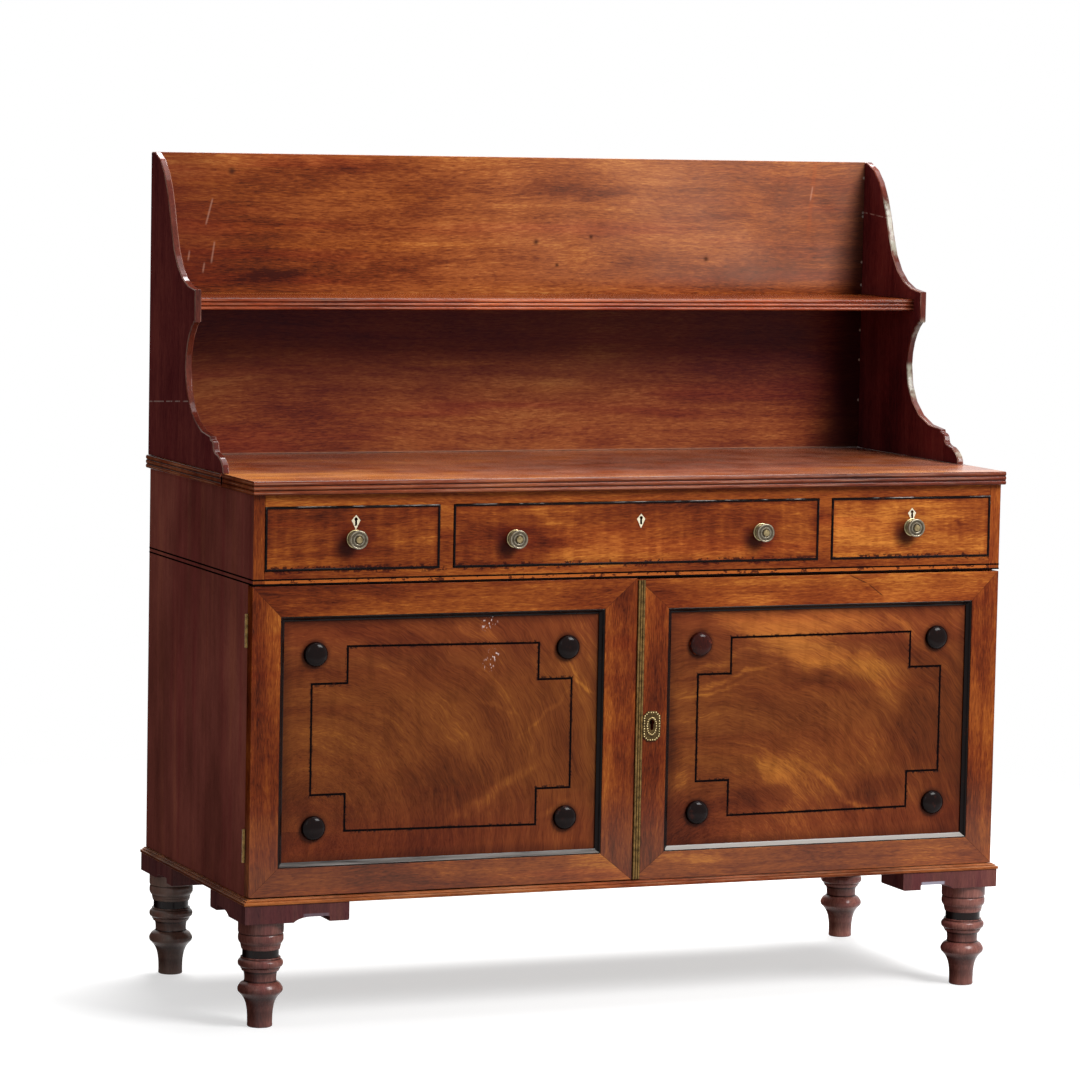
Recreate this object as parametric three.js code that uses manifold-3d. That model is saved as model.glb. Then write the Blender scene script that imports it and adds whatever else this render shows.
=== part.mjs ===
// A late Georgian mahogany chiffonier: a two-door cupboard with three drawers in its
// frieze, on four turned feet, under a raised gallery with one shelf and scrolled ends.
// Millimetres, +Z up, the front faces -Y, the origin is on the floor under the middle.

import * as THREE from "three";
import { mergeVertices } from "three/addons/utils/BufferGeometryUtils.js";
import Module from "manifold-3d";

// Clearances
const seatGap = 0.3;
const cutOverrun = 3;

// Carcass
const carcassWidth = 1180;
const carcassDepth = 484;
const sideThickness = 17;
const backThickness = 10;
const backRebateDepth = 9;
const bottomThickness = 16;
const cupboardHeight = 446;
const waistRailHeight = 19.5;
const drawerOpeningHeight = 92;
const topRailHeight = 16.2;
const railDepth = 45;
const muntinWidth = 20;
const muntinDepth = 22;
const middleOpeningWidth = 578.4;

// Top board with its reeded edges
const topThickness = 19.7;
const topFrontOverhang = 10;
const topSideOverhang = 7.5;
const plainEndSetback = 4;
const reedCount = 3;
const reedDepth = 2.2;

// Dust board under the drawers, with the guides between them
const dustBoardThickness = 11;
const guideHeight = 24;

// Shelf inside the cupboard, on a bearer at each side
const innerShelfThickness = 16;
const innerShelfRise = 198;
const innerShelfSetback = 42;
const bearerHeight = 18;
const bearerWidth = 14;

// Base moulding, corner brackets and turned feet
const baseMouldingHeight = 8.3;
const baseMouldingProjection = 9.2;
const baseRailWidth = 62;
const bracketHeight = 26.4;
const bracketLength = 157;
const bracketDepth = 74;
const bracketProjection = 7.5;
const bracketEndRadius = 3;
const bracketRiserRadius = 2;
const footHeight = 152.7;
const footRadius = 32.8;
const footInset = 29;
const footSpigotRadius = 11;
const footSpigotLength = 19;

// Gallery
const galleryHeight = 451.8;
const galleryFootSetback = 129;
const galleryEndThickness = 10.5;
const galleryEndOverhang = 3.6;
const galleryEdgeRound = 1.5;
const galleryBackThickness = 11;
const galleryShelfRise = 225.6;
const galleryShelfThickness = 17.4;
const galleryShelfSetback = 292;
const galleryHousingDepth = 3;
const galleryNoseDrop = 17;
const galleryNoseHeight = 47.5;

// Doors
const doorThickness = 20;
const doorTopGap = 1.4;
const doorBottomGap = 2;
const rightDoorSag = 1.2;
const doorMeetingGap = 1.2;
const doorBackGap = 0.5;
const hingeStileWidth = 42.8;
const meetingStileWidth = 49.6;
const doorTopRailWidth = 43.6;
const doorBottomRailWidth = 40;
const panelRecess = 8;
const panelThickness = 5.4;
const panelGrooveDepth = 7;
const panelMouldingWidth = 7;
const panelMouldingDepth = 7.4;
const bossRadius = 17.5;
const bossHeight = 9.5;
const bossInset = 55;

// Brass strip on the meeting edge of the right door, and its key plate
const stripWidth = 11.2;
const stripProjection = 2.3;
const stripRebate = 1.2;
const stripEndGap = 1.5;
const keyPlateWidth = 27.8;
const keyPlateHeight = 44;
const keyPlateThickness = 1.4;
const keyPlateCorner = 7;
const doorKeyhole = { radius: 4, slot: 4.2, length: 11.6 };
const keyPlateRise = 226.5;

// Butt hinges
const hingeLength = 48;
const hingeKnuckleRadius = 3;
const hingePinRadius = 1.2;
const hingeAxisProud = 1;
const hingeLeafWidth = 15;
const hingeLeafThickness = 1.8;
const topHingeDrop = 40;
const bottomHingeRise = 48;

// Drawers
const drawerGap = 0.7;
const drawerFrontThickness = 20;
const cockbeadWidth = 3;
const cockbeadProjection = 1.5;
const drawerBoxGap = 1.5;
const drawerBoxHeight = 82;
const drawerBackGap = 25;
const drawerSideThickness = 9;
const drawerBottomThickness = 6;
const drawerBottomRise = 5;
const drawerBackDrop = 12;
const dovetailCount = 3;
const dovetailLength = 12;
const dovetailSlope = 2.4;
const dovetailPinShare = 0.34;

// Knobs and key plates of the drawers
const knobReach = 19.5;
const knobFaceRadius = 13.8;
const knobPlateRadius = 13.2;
const knobShankRadius = 2.4;
const knobShankLength = 14;
const leftKnob = { shift: 3.2, drop: 1.7 };
const middleLeftKnob = { shift: 2.2, drop: 5.5 };
const middleRightKnob = { shift: -0.1, drop: 2.6 };
const rightKnob = { shift: 1.4, drop: -0.5 };
const middleKnobInset = 92.5;
const kiteWidth = 13.2;
const kiteHeight = 21.2;
const kiteProjection = 0.1;
const kiteDepth = 2;
const leftKite = { shift: 3.9, drop: 23.5 };
const middleKite = { shift: 2.8, drop: 28.5 };
const rightKite = { shift: 1.1, drop: 26.8 };
const kiteKeyhole = { radius: 2.5, slot: 3, length: 9.6 };

// Locks and bolts
const lockDepth = 9;
const lockCaseWidth = 40;
const lockCaseHeight = 27;
const selvageThickness = 1.6;
const selvageLength = 52;
const lockBoltWidth = 14;
const lockBoltThickness = 4;
const lockBoltLength = 18;
const lockBoltThrow = 7.5;
const flushBoltLength = 70;
const flushBoltWidth = 8;
const flushBoltThickness = 4;
const flushBoltThrow = 9;
const flushBoltInset = 24;
const flushBoltKnobRadius = 2.5;
const flushBoltKnobReach = 5;

// Facets round a turned piece and along a curve
const footFacets = 16;
const bossFacets = 18;
const knobFacets = 16;
const smallFacets = 12;
const reedFacets = 4;
const curveFacets = 5;

// Outlines, as shares of the sizes that they follow
// Turned foot: radius as a share of footRadius, height as a share of footHeight
const footProfileShares = [
  [0, 0], [0.53, 0], [0.555, 0.02], [0.55, 0.13], [0.6, 0.2], [0.66, 0.243],
  [0.8, 0.294], [0.96, 0.331], [0.99, 0.352], [0.955, 0.388], [0.85, 0.414],
  [0.71, 0.428], [0.695, 0.47], [0.745, 0.53], [0.86, 0.54], [0.87, 0.562],
  [0.965, 0.578], [0.99, 0.603], [0.96, 0.628], [0.885, 0.641], [0.88, 0.657],
  [0.8, 0.662], [0.8, 0.736], [0.875, 0.748], [0.885, 0.776], [0.955, 0.803],
  [1, 0.832], [0.99, 0.868], [0.955, 0.879], [0.99, 0.892], [1, 0.91], [1, 1],
];
// Boss: radius as a share of bossRadius, height as a share of bossHeight
const bossProfileShares = [
  [0, 0], [0.9, 0], [1, 0.2], [0.98, 0.42], [0.86, 0.68], [0.6, 0.9], [0, 1],
];
// Knob: radius as a share of knobFaceRadius, reach as a share of knobReach
const knobProfileShares = [
  [0.6, 0.16], [0.42, 0.23], [0.4, 0.5], [0.62, 0.6], [0.94, 0.66], [1, 0.72],
  [0.98, 0.82], [0.86, 0.87], [0.78, 0.82], [0.46, 0.84], [0.4, 0.96], [0.2, 1],
];
const knobPlateThicknessShare = 0.11;
// Gallery end below its nose: setback from the foot as a share of the end's depth,
// height as a share of the nose's height; each row is two handles and an end point
const galleryLowerShares = [
  [0, 0.062, 0.034, 0.091, 0.065, 0.113],
  [0.087, 0.12, 0.127, 0.125, 0.132, 0.163],
  [0.132, 0.197, 0.146, 0.211, 0.166, 0.211],
  [0.169, 0.211, 0.172, 0.22, 0.172, 0.233],
  [0.375, 0.24, 0.507, 0.413, 0.507, 0.672],
  [0.507, 0.83, 0.459, 0.941, 0.407, 1],
];
// Gallery end above its nose: height as a share of what rises above the nose
const galleryUpperShares = [
  [0.552, 0.01, 0.665, 0.138, 0.718, 0.434],
  [0.763, 0.684, 0.82, 0.939, 0.955, 1],
];
const galleryNoseShare = 0.391;
const galleryNoseTopShare = 0.4;
// Bracket: distance from the corner and rise of its lower edge, as shares
const bracketFlatShare = 0.465;
const bracketCurveShare = 0.525;
const bracketRiseShare = 0.635;
const bracketBlockShare = 0.81;
const bracketCutShare = 0.29;
// Base moulding: projection and height from its underside, as shares
const baseMouldingShares = [
  [0.9, 0], [1, 0.1], [1, 0.46], [0.92, 0.54], [0.64, 0.58], [0.56, 0.66], [0.64, 0.72],
  [0.64, 0.8], [0.38, 0.84], [0.32, 0.9], [0.32, 1],
];
// Panel moulding: distance from the door frame and depth, as shares
const panelMouldingShares = [
  [0, 0.1], [0.18, 0.06], [0.3, 0.14], [0.42, 0.36], [0.62, 0.6], [0.86, 0.76], [1, 0.84],
];
const kiteShoulderShare = 0.36;

// Heights and places that follow from the sizes above
const bracketBottom = footHeight + seatGap;
const baseMouldingBottom = bracketBottom + bracketHeight + seatGap;
const baseTop = baseMouldingBottom + baseMouldingHeight;
const waistBottom = baseTop + cupboardHeight;
const waistTop = waistBottom + waistRailHeight;
const drawerTop = waistTop + drawerOpeningHeight;
const carcassTop = drawerTop + topRailHeight;
const topBottom = carcassTop + seatGap;
const topSurface = topBottom + topThickness;
const galleryBottom = topSurface + seatGap;
const galleryTop = galleryBottom + galleryHeight;
const halfWidth = carcassWidth / 2;
const innerHalfWidth = halfWidth - sideThickness;
const backFront = carcassDepth - backThickness;
const frontShift = (knobReach - carcassDepth) / 2;
const doorHeight = cupboardHeight - doorBottomGap - doorTopGap;
const hingeAxisX = halfWidth + hingeAxisProud;
const hingeAxisY = doorThickness + doorBackGap / 2;

const wasm = await Module();
wasm.setup();

// The same closed mesh with its triangles turned so that it encloses a positive volume.
function facingOut(geometry) {
  const corners = geometry.getAttribute("position");
  const index = geometry.index.array;
  const [a, b, c] = [new THREE.Vector3(), new THREE.Vector3(), new THREE.Vector3()];
  let volume = 0;
  for (let i = 0; i < index.length; i += 3) {
    a.fromBufferAttribute(corners, index[i]);
    b.fromBufferAttribute(corners, index[i + 1]);
    c.fromBufferAttribute(corners, index[i + 2]);
    volume += a.dot(b.cross(c));
  }
  if (volume < 0)
    for (let i = 0; i < index.length; i += 3)
      [index[i + 1], index[i + 2]] = [index[i + 2], index[i + 1]];
  return geometry;
}

// A solid for joining and cutting, from a closed three.js geometry.
function solidOf(geometry) {
  const bare = geometry.clone();
  bare.deleteAttribute("normal");
  bare.deleteAttribute("uv");
  const merged = facingOut(mergeVertices(bare));
  return new wasm.Manifold(
    new wasm.Mesh({
      numProp: 3,
      vertProperties: merged.attributes.position.array,
      triVerts: new Uint32Array(merged.index.array),
    }),
  );
}

// A named mesh from a solid.
function meshOf(solid, name, material) {
  const made = solid.getMesh();
  const geometry = new THREE.BufferGeometry();
  const corners = new Float32Array(made.vertProperties);
  geometry.setAttribute("position", new THREE.BufferAttribute(corners, 3));
  geometry.setIndex(new THREE.BufferAttribute(new Uint32Array(made.triVerts), 1));
  const mesh = new THREE.Mesh(geometry, material);
  mesh.name = name;
  return mesh;
}

// A block between two corners.
function block(x0, x1, y0, y1, z0, z1) {
  const geometry = new THREE.BoxGeometry(x1 - x0, y1 - y0, z1 - z0);
  geometry.translate((x0 + x1) / 2, (y0 + y1) / 2, (z0 + z1) / 2);
  return solidOf(geometry);
}

// An outline drawn in the Y-Z plane and run along X.
function alongX(shape, x0, x1, options = {}) {
  const geometry = new THREE.ExtrudeGeometry(shape, {
    depth: x1 - x0, bevelEnabled: false, curveSegments: curveFacets, ...options,
  });
  geometry.applyMatrix4(new THREE.Matrix4().set(0, 0, 1, x0, 1, 0, 0, 0, 0, 1, 0, 0, 0, 0, 0, 1));
  return solidOf(geometry);
}

// An outline drawn in the X-Z plane and run along Y.
function alongY(shape, y0, y1) {
  const geometry = new THREE.ExtrudeGeometry(shape, {
    depth: y1 - y0, bevelEnabled: false, curveSegments: curveFacets,
  });
  geometry.applyMatrix4(new THREE.Matrix4().set(1, 0, 0, 0, 0, 0, 1, y0, 0, 1, 0, 0, 0, 0, 0, 1));
  return solidOf(geometry);
}

// An outline drawn in the X-Y plane and run along Z.
function alongZ(shape, z0, z1) {
  const geometry = new THREE.ExtrudeGeometry(shape, {
    depth: z1 - z0, bevelEnabled: false, curveSegments: curveFacets,
  });
  geometry.translate(0, 0, z0);
  return solidOf(geometry);
}

// A straight-sided outline through a list of points.
function outline(points) {
  return new THREE.Shape(points.map(([u, v]) => new THREE.Vector2(u, v)));
}

// A turned piece standing on Z, from a profile of [radius, height].
function turned(profile, facets) {
  const points = profile.map(([r, h]) => new THREE.Vector2(r, h));
  return solidOf(new THREE.LatheGeometry(points, facets)).rotate([90, 0, 0]);
}

// An upright rod from z0 to z1.
function rod(radius, x, y, z0, z1) {
  return turned([[0, z0], [radius, z0], [radius, z1], [0, z1]], smallFacets).translate([x, y, 0]);
}

// A rod along Y from y0 to y1.
function rodAlongY(radius, x, z, y0, y1) {
  return turned([[0, y0], [radius, y0], [radius, y1], [0, y1]], smallFacets)
    .rotate([-90, 0, 0])
    .translate([x, 0, z]);
}

// A round hole's radius, so that a rod of this radius and a gap still fit inside its facets.
const holeRadius = (radius) => (radius + seatGap) / Math.cos(Math.PI / smallFacets);

// A mitred frame: every ring is a rectangle [x0, x1, z0, z1, y], joined to the next one
// and the last to the first.
function mitredFrame(rings) {
  const corners = rings.flatMap(([x0, x1, z0, z1, y]) =>
    [x0, y, z0, x1, y, z0, x1, y, z1, x0, y, z1]);
  const index = [];
  rings.forEach((ring, i) => {
    const here = 4 * i;
    const next = 4 * ((i + 1) % rings.length);
    for (let side = 0; side < 4; side += 1) {
      const after = (side + 1) % 4;
      index.push(here + side, here + after, next + after);
      index.push(here + side, next + after, next + side);
    }
  });
  const geometry = new THREE.BufferGeometry();
  geometry.setAttribute("position", new THREE.Float32BufferAttribute(corners, 3));
  geometry.setIndex(index);
  return solidOf(geometry);
}

// A stack of level rectangles [x0, x1, y0, y1, z], from the lowest to the highest.
function stackedRectangles(levels) {
  const corners = levels.flatMap(([x0, x1, y0, y1, z]) =>
    [x0, y0, z, x1, y0, z, x1, y1, z, x0, y1, z]);
  const index = [0, 2, 1, 0, 3, 2];
  for (let i = 0; i + 1 < levels.length; i += 1)
    for (let side = 0; side < 4; side += 1) {
      const after = (side + 1) % 4;
      const [here, next] = [4 * i, 4 * i + 4];
      index.push(here + side, here + after, next + after);
      index.push(here + side, next + after, next + side);
    }
  const top = 4 * (levels.length - 1);
  index.push(top, top + 1, top + 2, top, top + 2, top + 3);
  const geometry = new THREE.BufferGeometry();
  geometry.setAttribute("position", new THREE.Float32BufferAttribute(corners, 3));
  geometry.setIndex(index);
  return solidOf(geometry);
}

// Points of a reeded edge from one height to another, swelling towards smaller v.
function reededEdge(v, low, high) {
  const points = [];
  const pitch = (high - low) / reedCount;
  for (let reed = 0; reed < reedCount; reed += 1)
    for (let step = 0; step <= reedFacets; step += 1) {
      if (reed > 0 && step === 0) continue;
      const turn = (Math.PI * step) / reedFacets;
      const swell = reedDepth * Math.sin(turn);
      points.push([v - swell, low + pitch * (reed + (1 - Math.cos(turn)) / 2)]);
    }
  return points;
}

const mirrorX = (solid) => solid.mirror([1, 0, 0]);

const colours = {
  mahogany: [0x8a4a22, 0.35, 0],
  darkMahogany: [0x5a261c, 0.35, 0],
  innerWood: [0x9a7048, 0.7, 0],
  ebonised: [0x1c1a1c, 0.25, 0],
  brass: [0x8c7440, 0.4, 0.9],
  bone: [0xddd0ac, 0.5, 0],
  steel: [0x6a6a6c, 0.45, 0.8],
};
const materials = Object.fromEntries(
  Object.entries(colours).map(([name, [color, roughness, metalness]]) => [
    name,
    new THREE.MeshStandardMaterial({ color, roughness, metalness }),
  ]),
);

const chiffonier = new THREE.Group();
const add = (name, solid, finish) => chiffonier.add(meshOf(solid, name, materials[finish]));

// Butt hinges. The two leaves meet between the back of the door and the edge of the side
// panel; the knuckle stands a little proud of the carcass side. All is drawn for the right
// side and mirrored for the left.
const knuckleLength = (hingeLength - 2 * seatGap) / 3;
const knuckleSpans = [0, 1, 2].map((n) => {
  const from = n * (knuckleLength + seatGap);
  return [from, from + knuckleLength];
});

function hingeClearance(radius, z, spans) {
  return spans
    .map(([from, to]) => rod(radius, hingeAxisX, hingeAxisY, z + from - seatGap, z + to + seatGap))
    .reduce((all, one) => all.add(one));
}

function fixedLeaf(z) {
  const front = hingeAxisY + seatGap;
  const plate = block(
    hingeAxisX - hingeLeafWidth, hingeAxisX, front, front + hingeLeafThickness, z, z + hingeLength,
  );
  const outer = [knuckleSpans[0], knuckleSpans[2]];
  const clear = hingeClearance(holeRadius(hingeKnuckleRadius), z, [knuckleSpans[1]]);
  return outer
    .map(([from, to]) => rod(hingeKnuckleRadius, hingeAxisX, hingeAxisY, z + from, z + to))
    .reduce((all, one) => all.add(one), plate.subtract(clear))
    .add(rod(hingePinRadius, hingeAxisX, hingeAxisY, z, z + hingeLength));
}

function doorLeaf(z) {
  const back = hingeAxisY - seatGap;
  const plate = block(
    hingeAxisX - hingeLeafWidth, hingeAxisX, back - hingeLeafThickness, back, z, z + hingeLength,
  );
  const [from, to] = knuckleSpans[1];
  const outer = [knuckleSpans[0], knuckleSpans[2]];
  const clear = hingeClearance(holeRadius(hingeKnuckleRadius), z, outer);
  const bore = holeRadius(hingePinRadius);
  return plate
    .subtract(clear)
    .add(rod(hingeKnuckleRadius, hingeAxisX, hingeAxisY, z + from, z + to))
    .subtract(rod(bore, hingeAxisX, hingeAxisY, z - cutOverrun, z + hingeLength + cutOverrun));
}

// The recess for one leaf and the knuckle, cut from the door or from the side panel.
function hingeRecess(z, side) {
  const near = hingeAxisY;
  const far = hingeAxisY + side * (seatGap + hingeLeafThickness + seatGap);
  const [y0, y1] = [Math.min(near, far), Math.max(near, far)];
  const [z0, z1] = [z - seatGap, z + hingeLength + seatGap];
  return block(hingeAxisX - hingeLeafWidth - seatGap, hingeAxisX + cutOverrun, y0, y1, z0, z1)
    .add(rod(holeRadius(hingeKnuckleRadius), hingeAxisX, hingeAxisY, z0, z1));
}

// Heights of the two hinges of a door whose lower edge is at z.
function hingeHeights(z) {
  return { top: z + doorHeight - topHingeDrop - hingeLength, bottom: z + bottomHingeRise };
}

// Doors, drawn as spans: the left one runs from the hinge to the meeting edge.
const doors = {
  left: {
    bottom: baseTop + doorBottomGap,
    x0: -halfWidth,
    x1: -doorMeetingGap / 2,
    stiles: [hingeStileWidth, meetingStileWidth],
  },
  right: {
    bottom: baseTop + doorBottomGap - rightDoorSag,
    x0: doorMeetingGap / 2,
    x1: halfWidth,
    stiles: [meetingStileWidth, hingeStileWidth],
  },
};

// A rectangle of the door set in from its frame's members: members is 0 at the outer edge
// and 1 at the opening, and back is how far it then lies towards the outer edge.
function doorRing(door, members, back, y) {
  const [leftStile, rightStile] = door.stiles;
  return [
    door.x0 + members * leftStile - back,
    door.x1 - members * rightStile + back,
    door.bottom + members * doorBottomRailWidth - back,
    door.bottom + doorHeight - members * doorTopRailWidth + back,
    y,
  ];
}

function doorFrame(door) {
  const grooveBack = panelRecess + panelThickness + 2 * seatGap;
  return mitredFrame([
    doorRing(door, 0, 0, 0),
    doorRing(door, 1, 0, 0),
    doorRing(door, 1, 0, panelRecess),
    doorRing(door, 1, panelGrooveDepth, panelRecess),
    doorRing(door, 1, panelGrooveDepth, grooveBack),
    doorRing(door, 1, 0, grooveBack),
    doorRing(door, 1, 0, doorThickness),
    doorRing(door, 0, 0, doorThickness),
  ]);
}

function doorPanel(door) {
  const [x0, x1, z0, z1] = doorRing(door, 1, panelGrooveDepth - seatGap, 0);
  const front = panelRecess + seatGap;
  let panel = block(x0, x1, front, front + panelThickness, z0, z1);
  const [left, right, low, high] = doorRing(door, 1, -bossInset, 0);
  const boss = turned(
    bossProfileShares.map(([r, h]) => [r * bossRadius, h * bossHeight]), bossFacets,
  ).rotate([90, 0, 0]);
  for (const x of [left, right])
    for (const z of [low, high]) panel = panel.add(boss.translate([x, front + seatGap, z]));
  return panel;
}

function panelMoulding(door) {
  const rings = panelMouldingShares.map(([across, deep]) =>
    doorRing(door, 1, -seatGap - across * panelMouldingWidth, deep * panelMouldingDepth));
  const back = panelRecess;
  rings.push(doorRing(door, 1, -seatGap - panelMouldingWidth, back));
  rings.push(doorRing(door, 1, -seatGap, back));
  return mitredFrame(rings);
}

// Lock of the right door, let into the back of its meeting stile.
const doorLockZ = doors.right.bottom + keyPlateRise;
const stripX = doors.right.x0 + seatGap;
const doorLockX = stripX + stripWidth + seatGap + keyPlateWidth / 2;
const lockFront = doorThickness - lockDepth;
const lockBoltY = doorThickness - lockDepth / 2;

function keyhole(size, x, z, y0, y1) {
  const half = size.slot / 2;
  return rodAlongY(size.radius, x, z, y0, y1)
    .add(block(x - half, x + half, y0, y1, z - size.length, z));
}

function doorLockBody(grow) {
  const half = lockCaseHeight - lockBoltLength / 2;
  const x0 = doors.right.x0;
  const caseX1 = doorLockX + lockCaseHeight / 2;
  const y1 = grow > 0 ? doorThickness + cutOverrun : doorThickness;
  const shell = block(
    x0 + seatGap, caseX1 + grow, lockFront - grow, y1, doorLockZ - half - grow, doorLockZ + half + grow,
  );
  const plateX0 = grow > 0 ? x0 - cutOverrun : x0 + seatGap;
  return shell.add(block(
    plateX0, x0 + seatGap + selvageThickness + grow, lockFront - grow, y1,
    doorLockZ - selvageLength / 2 - grow, doorLockZ + selvageLength / 2 + grow,
  ));
}

function doorLockBolt(grow, throwLength) {
  const x0 = doors.right.x0 + seatGap - throwLength;
  const halfY = lockBoltThickness / 2 + grow;
  const halfZ = lockBoltWidth / 2 + grow;
  return block(
    x0, doors.right.x0 + seatGap + lockBoltLength + grow,
    lockBoltY - halfY, lockBoltY + halfY, doorLockZ - halfZ, doorLockZ + halfZ,
  );
}

// Flush bolts of the left door, let into the back of its meeting stile.
const flushBoltX = doors.left.x1 - flushBoltInset;

function flushBolt(door, end) {
  const edge = end > 0 ? door.bottom + doorHeight - seatGap : door.bottom + seatGap;
  const tail = edge - end * flushBoltLength;
  const half = flushBoltWidth / 2;
  const knobZ = edge - end * flushBoltLength * 0.75;
  return block(
    flushBoltX - half, flushBoltX + half, doorThickness - flushBoltThickness, doorThickness,
    Math.min(edge, tail), Math.max(edge, tail),
  ).add(rodAlongY(
    flushBoltKnobRadius, flushBoltX, knobZ, doorThickness - seatGap,
    doorThickness + flushBoltKnobReach,
  ));
}

// The channel that the bolt slides in, and the mortise that takes its end.
function flushBoltChannel(door, end) {
  const edge = end > 0 ? door.bottom + doorHeight : door.bottom;
  const outer = edge + end * (flushBoltThrow + doorBottomGap + cutOverrun);
  const tail = edge - end * (flushBoltLength + 2 * seatGap);
  const half = flushBoltWidth / 2 + seatGap;
  return block(
    flushBoltX - half, flushBoltX + half,
    doorThickness - flushBoltThickness - seatGap, doorThickness + seatGap,
    Math.min(outer, tail), Math.max(outer, tail),
  );
}

function flushBoltMortise(end) {
  const from = end > 0 ? waistBottom - cutOverrun : baseTop + cutOverrun;
  const depth = end > 0 ? flushBoltThrow : flushBoltThrow - doorBottomGap + seatGap;
  const to = (end > 0 ? waistBottom : baseTop) + end * depth;
  const half = flushBoltWidth / 2 + seatGap;
  return block(
    flushBoltX - half, flushBoltX + half,
    doorThickness - flushBoltThickness - seatGap, doorThickness + seatGap,
    Math.min(from, to), Math.max(from, to),
  );
}

// Carcass

function sidePanel() {
  let panel = block(innerHalfWidth, halfWidth, 0, carcassDepth, baseTop + seatGap, carcassTop);
  const doorZone = block(
    innerHalfWidth - cutOverrun, halfWidth + cutOverrun, -cutOverrun, doorThickness + doorBackGap,
    baseTop - cutOverrun, waistBottom,
  );
  const backRebate = block(
    innerHalfWidth - cutOverrun, innerHalfWidth + backRebateDepth, backFront,
    carcassDepth + cutOverrun, baseTop - cutOverrun, carcassTop + cutOverrun,
  );
  panel = panel.subtract(doorZone).subtract(backRebate);
  const bearerTop = baseTop + innerShelfRise - seatGap;
  return panel.add(block(
    innerHalfWidth - bearerWidth, innerHalfWidth + seatGap, innerShelfSetback + bearerWidth,
    backFront - bearerWidth, bearerTop - bearerHeight, bearerTop,
  ));
}

function sidePanelFor(door) {
  const heights = hingeHeights(door.bottom);
  return sidePanel()
    .subtract(hingeRecess(heights.top, 1))
    .subtract(hingeRecess(heights.bottom, 1));
}

add("right_side_panel", sidePanelFor(doors.right), "darkMahogany");
add("left_side_panel", mirrorX(sidePanelFor(doors.left)), "darkMahogany");

const backHalfWidth = innerHalfWidth + backRebateDepth - seatGap;
add(
  "carcass_back",
  block(
    -backHalfWidth, backHalfWidth, backFront + seatGap, carcassDepth, baseTop + seatGap, carcassTop,
  ),
  "innerWood",
);

const innerBack = backFront;
const boardHalfWidth = innerHalfWidth - seatGap;
add(
  "carcass_bottom",
  block(
    -boardHalfWidth, boardHalfWidth, doorThickness + doorBackGap, innerBack,
    baseTop + seatGap, baseTop + seatGap + bottomThickness,
  ),
  "innerWood",
);

add(
  "cupboard_shelf",
  block(
    -boardHalfWidth, boardHalfWidth, innerShelfSetback, innerBack,
    baseTop + innerShelfRise, baseTop + innerShelfRise + innerShelfThickness,
  ),
  "innerWood",
);

const guideX = (middleOpeningWidth + muntinWidth) / 2;

function dustBoard() {
  const deckFront = railDepth + seatGap;
  let board = block(
    -boardHalfWidth, boardHalfWidth, deckFront, innerBack, waistTop - dustBoardThickness, waistTop,
  );
  for (const side of [-1, 1])
    board = board.add(block(
      side * guideX - muntinWidth / 2, side * guideX + muntinWidth / 2, deckFront, innerBack,
      waistTop - seatGap, waistTop + guideHeight,
    ));
  return board;
}
add("dust_board", dustBoard(), "innerWood");

// Drawers: their places, knobs and key plates
const frontHeight = drawerOpeningHeight - 2 * drawerGap;
const frontBottom = waistTop + drawerGap;
const frontTop = frontBottom + frontHeight;
const sideOpeningWidth = innerHalfWidth - middleOpeningWidth / 2 - muntinWidth;
const sideDrawerX = innerHalfWidth - sideOpeningWidth / 2;
const knobPlace = (x, place) => ({
  x: x + place.shift, z: frontBottom + frontHeight / 2 - place.drop,
});
const kitePlace = (x, place) => ({ x: x + place.shift, z: frontTop - place.drop });
const middleKnobX = middleOpeningWidth / 2 - drawerGap - middleKnobInset;
const drawers = {
  left: {
    x: -sideDrawerX,
    width: sideOpeningWidth,
    knobs: [knobPlace(-sideDrawerX, leftKnob)],
    kite: kitePlace(-sideDrawerX, leftKite),
  },
  middle: {
    x: 0,
    width: middleOpeningWidth,
    knobs: [
      knobPlace(-middleKnobX, middleLeftKnob), knobPlace(middleKnobX, middleRightKnob),
    ],
    kite: kitePlace(0, middleKite),
  },
  right: {
    x: sideDrawerX,
    width: sideOpeningWidth,
    knobs: [knobPlace(sideDrawerX, rightKnob)],
    kite: kitePlace(sideDrawerX, rightKite),
  },
};
const keyholeZ = (drawer) => drawer.kite.z + kiteKeyhole.length / 2;

function drawerLockBolt(drawer, grow, reach) {
  const half = lockBoltWidth / 2 + grow;
  const halfY = lockBoltThickness / 2 + grow;
  const top = frontTop - seatGap;
  return block(
    drawer.x - half, drawer.x + half, lockBoltY - halfY, lockBoltY + halfY,
    top - lockBoltLength - grow, top + reach,
  );
}

function faceFrame() {
  const railBack = railDepth;
  let frame = block(-boardHalfWidth, boardHalfWidth, 0, railBack, waistBottom, waistTop)
    .add(block(-boardHalfWidth, boardHalfWidth, 0, railBack, drawerTop, carcassTop));
  for (const side of [-1, 1])
    frame = frame.add(block(
      side * guideX - muntinWidth / 2, side * guideX + muntinWidth / 2, 0, muntinDepth,
      waistTop - seatGap, drawerTop + seatGap,
    ));
  for (const drawer of Object.values(drawers))
    frame = frame.subtract(drawerLockBolt(drawer, seatGap, drawerGap + lockBoltThrow + 2 * seatGap));
  return frame.subtract(flushBoltMortise(1));
}
add("face_frame", faceFrame(), "mahogany");

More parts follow.
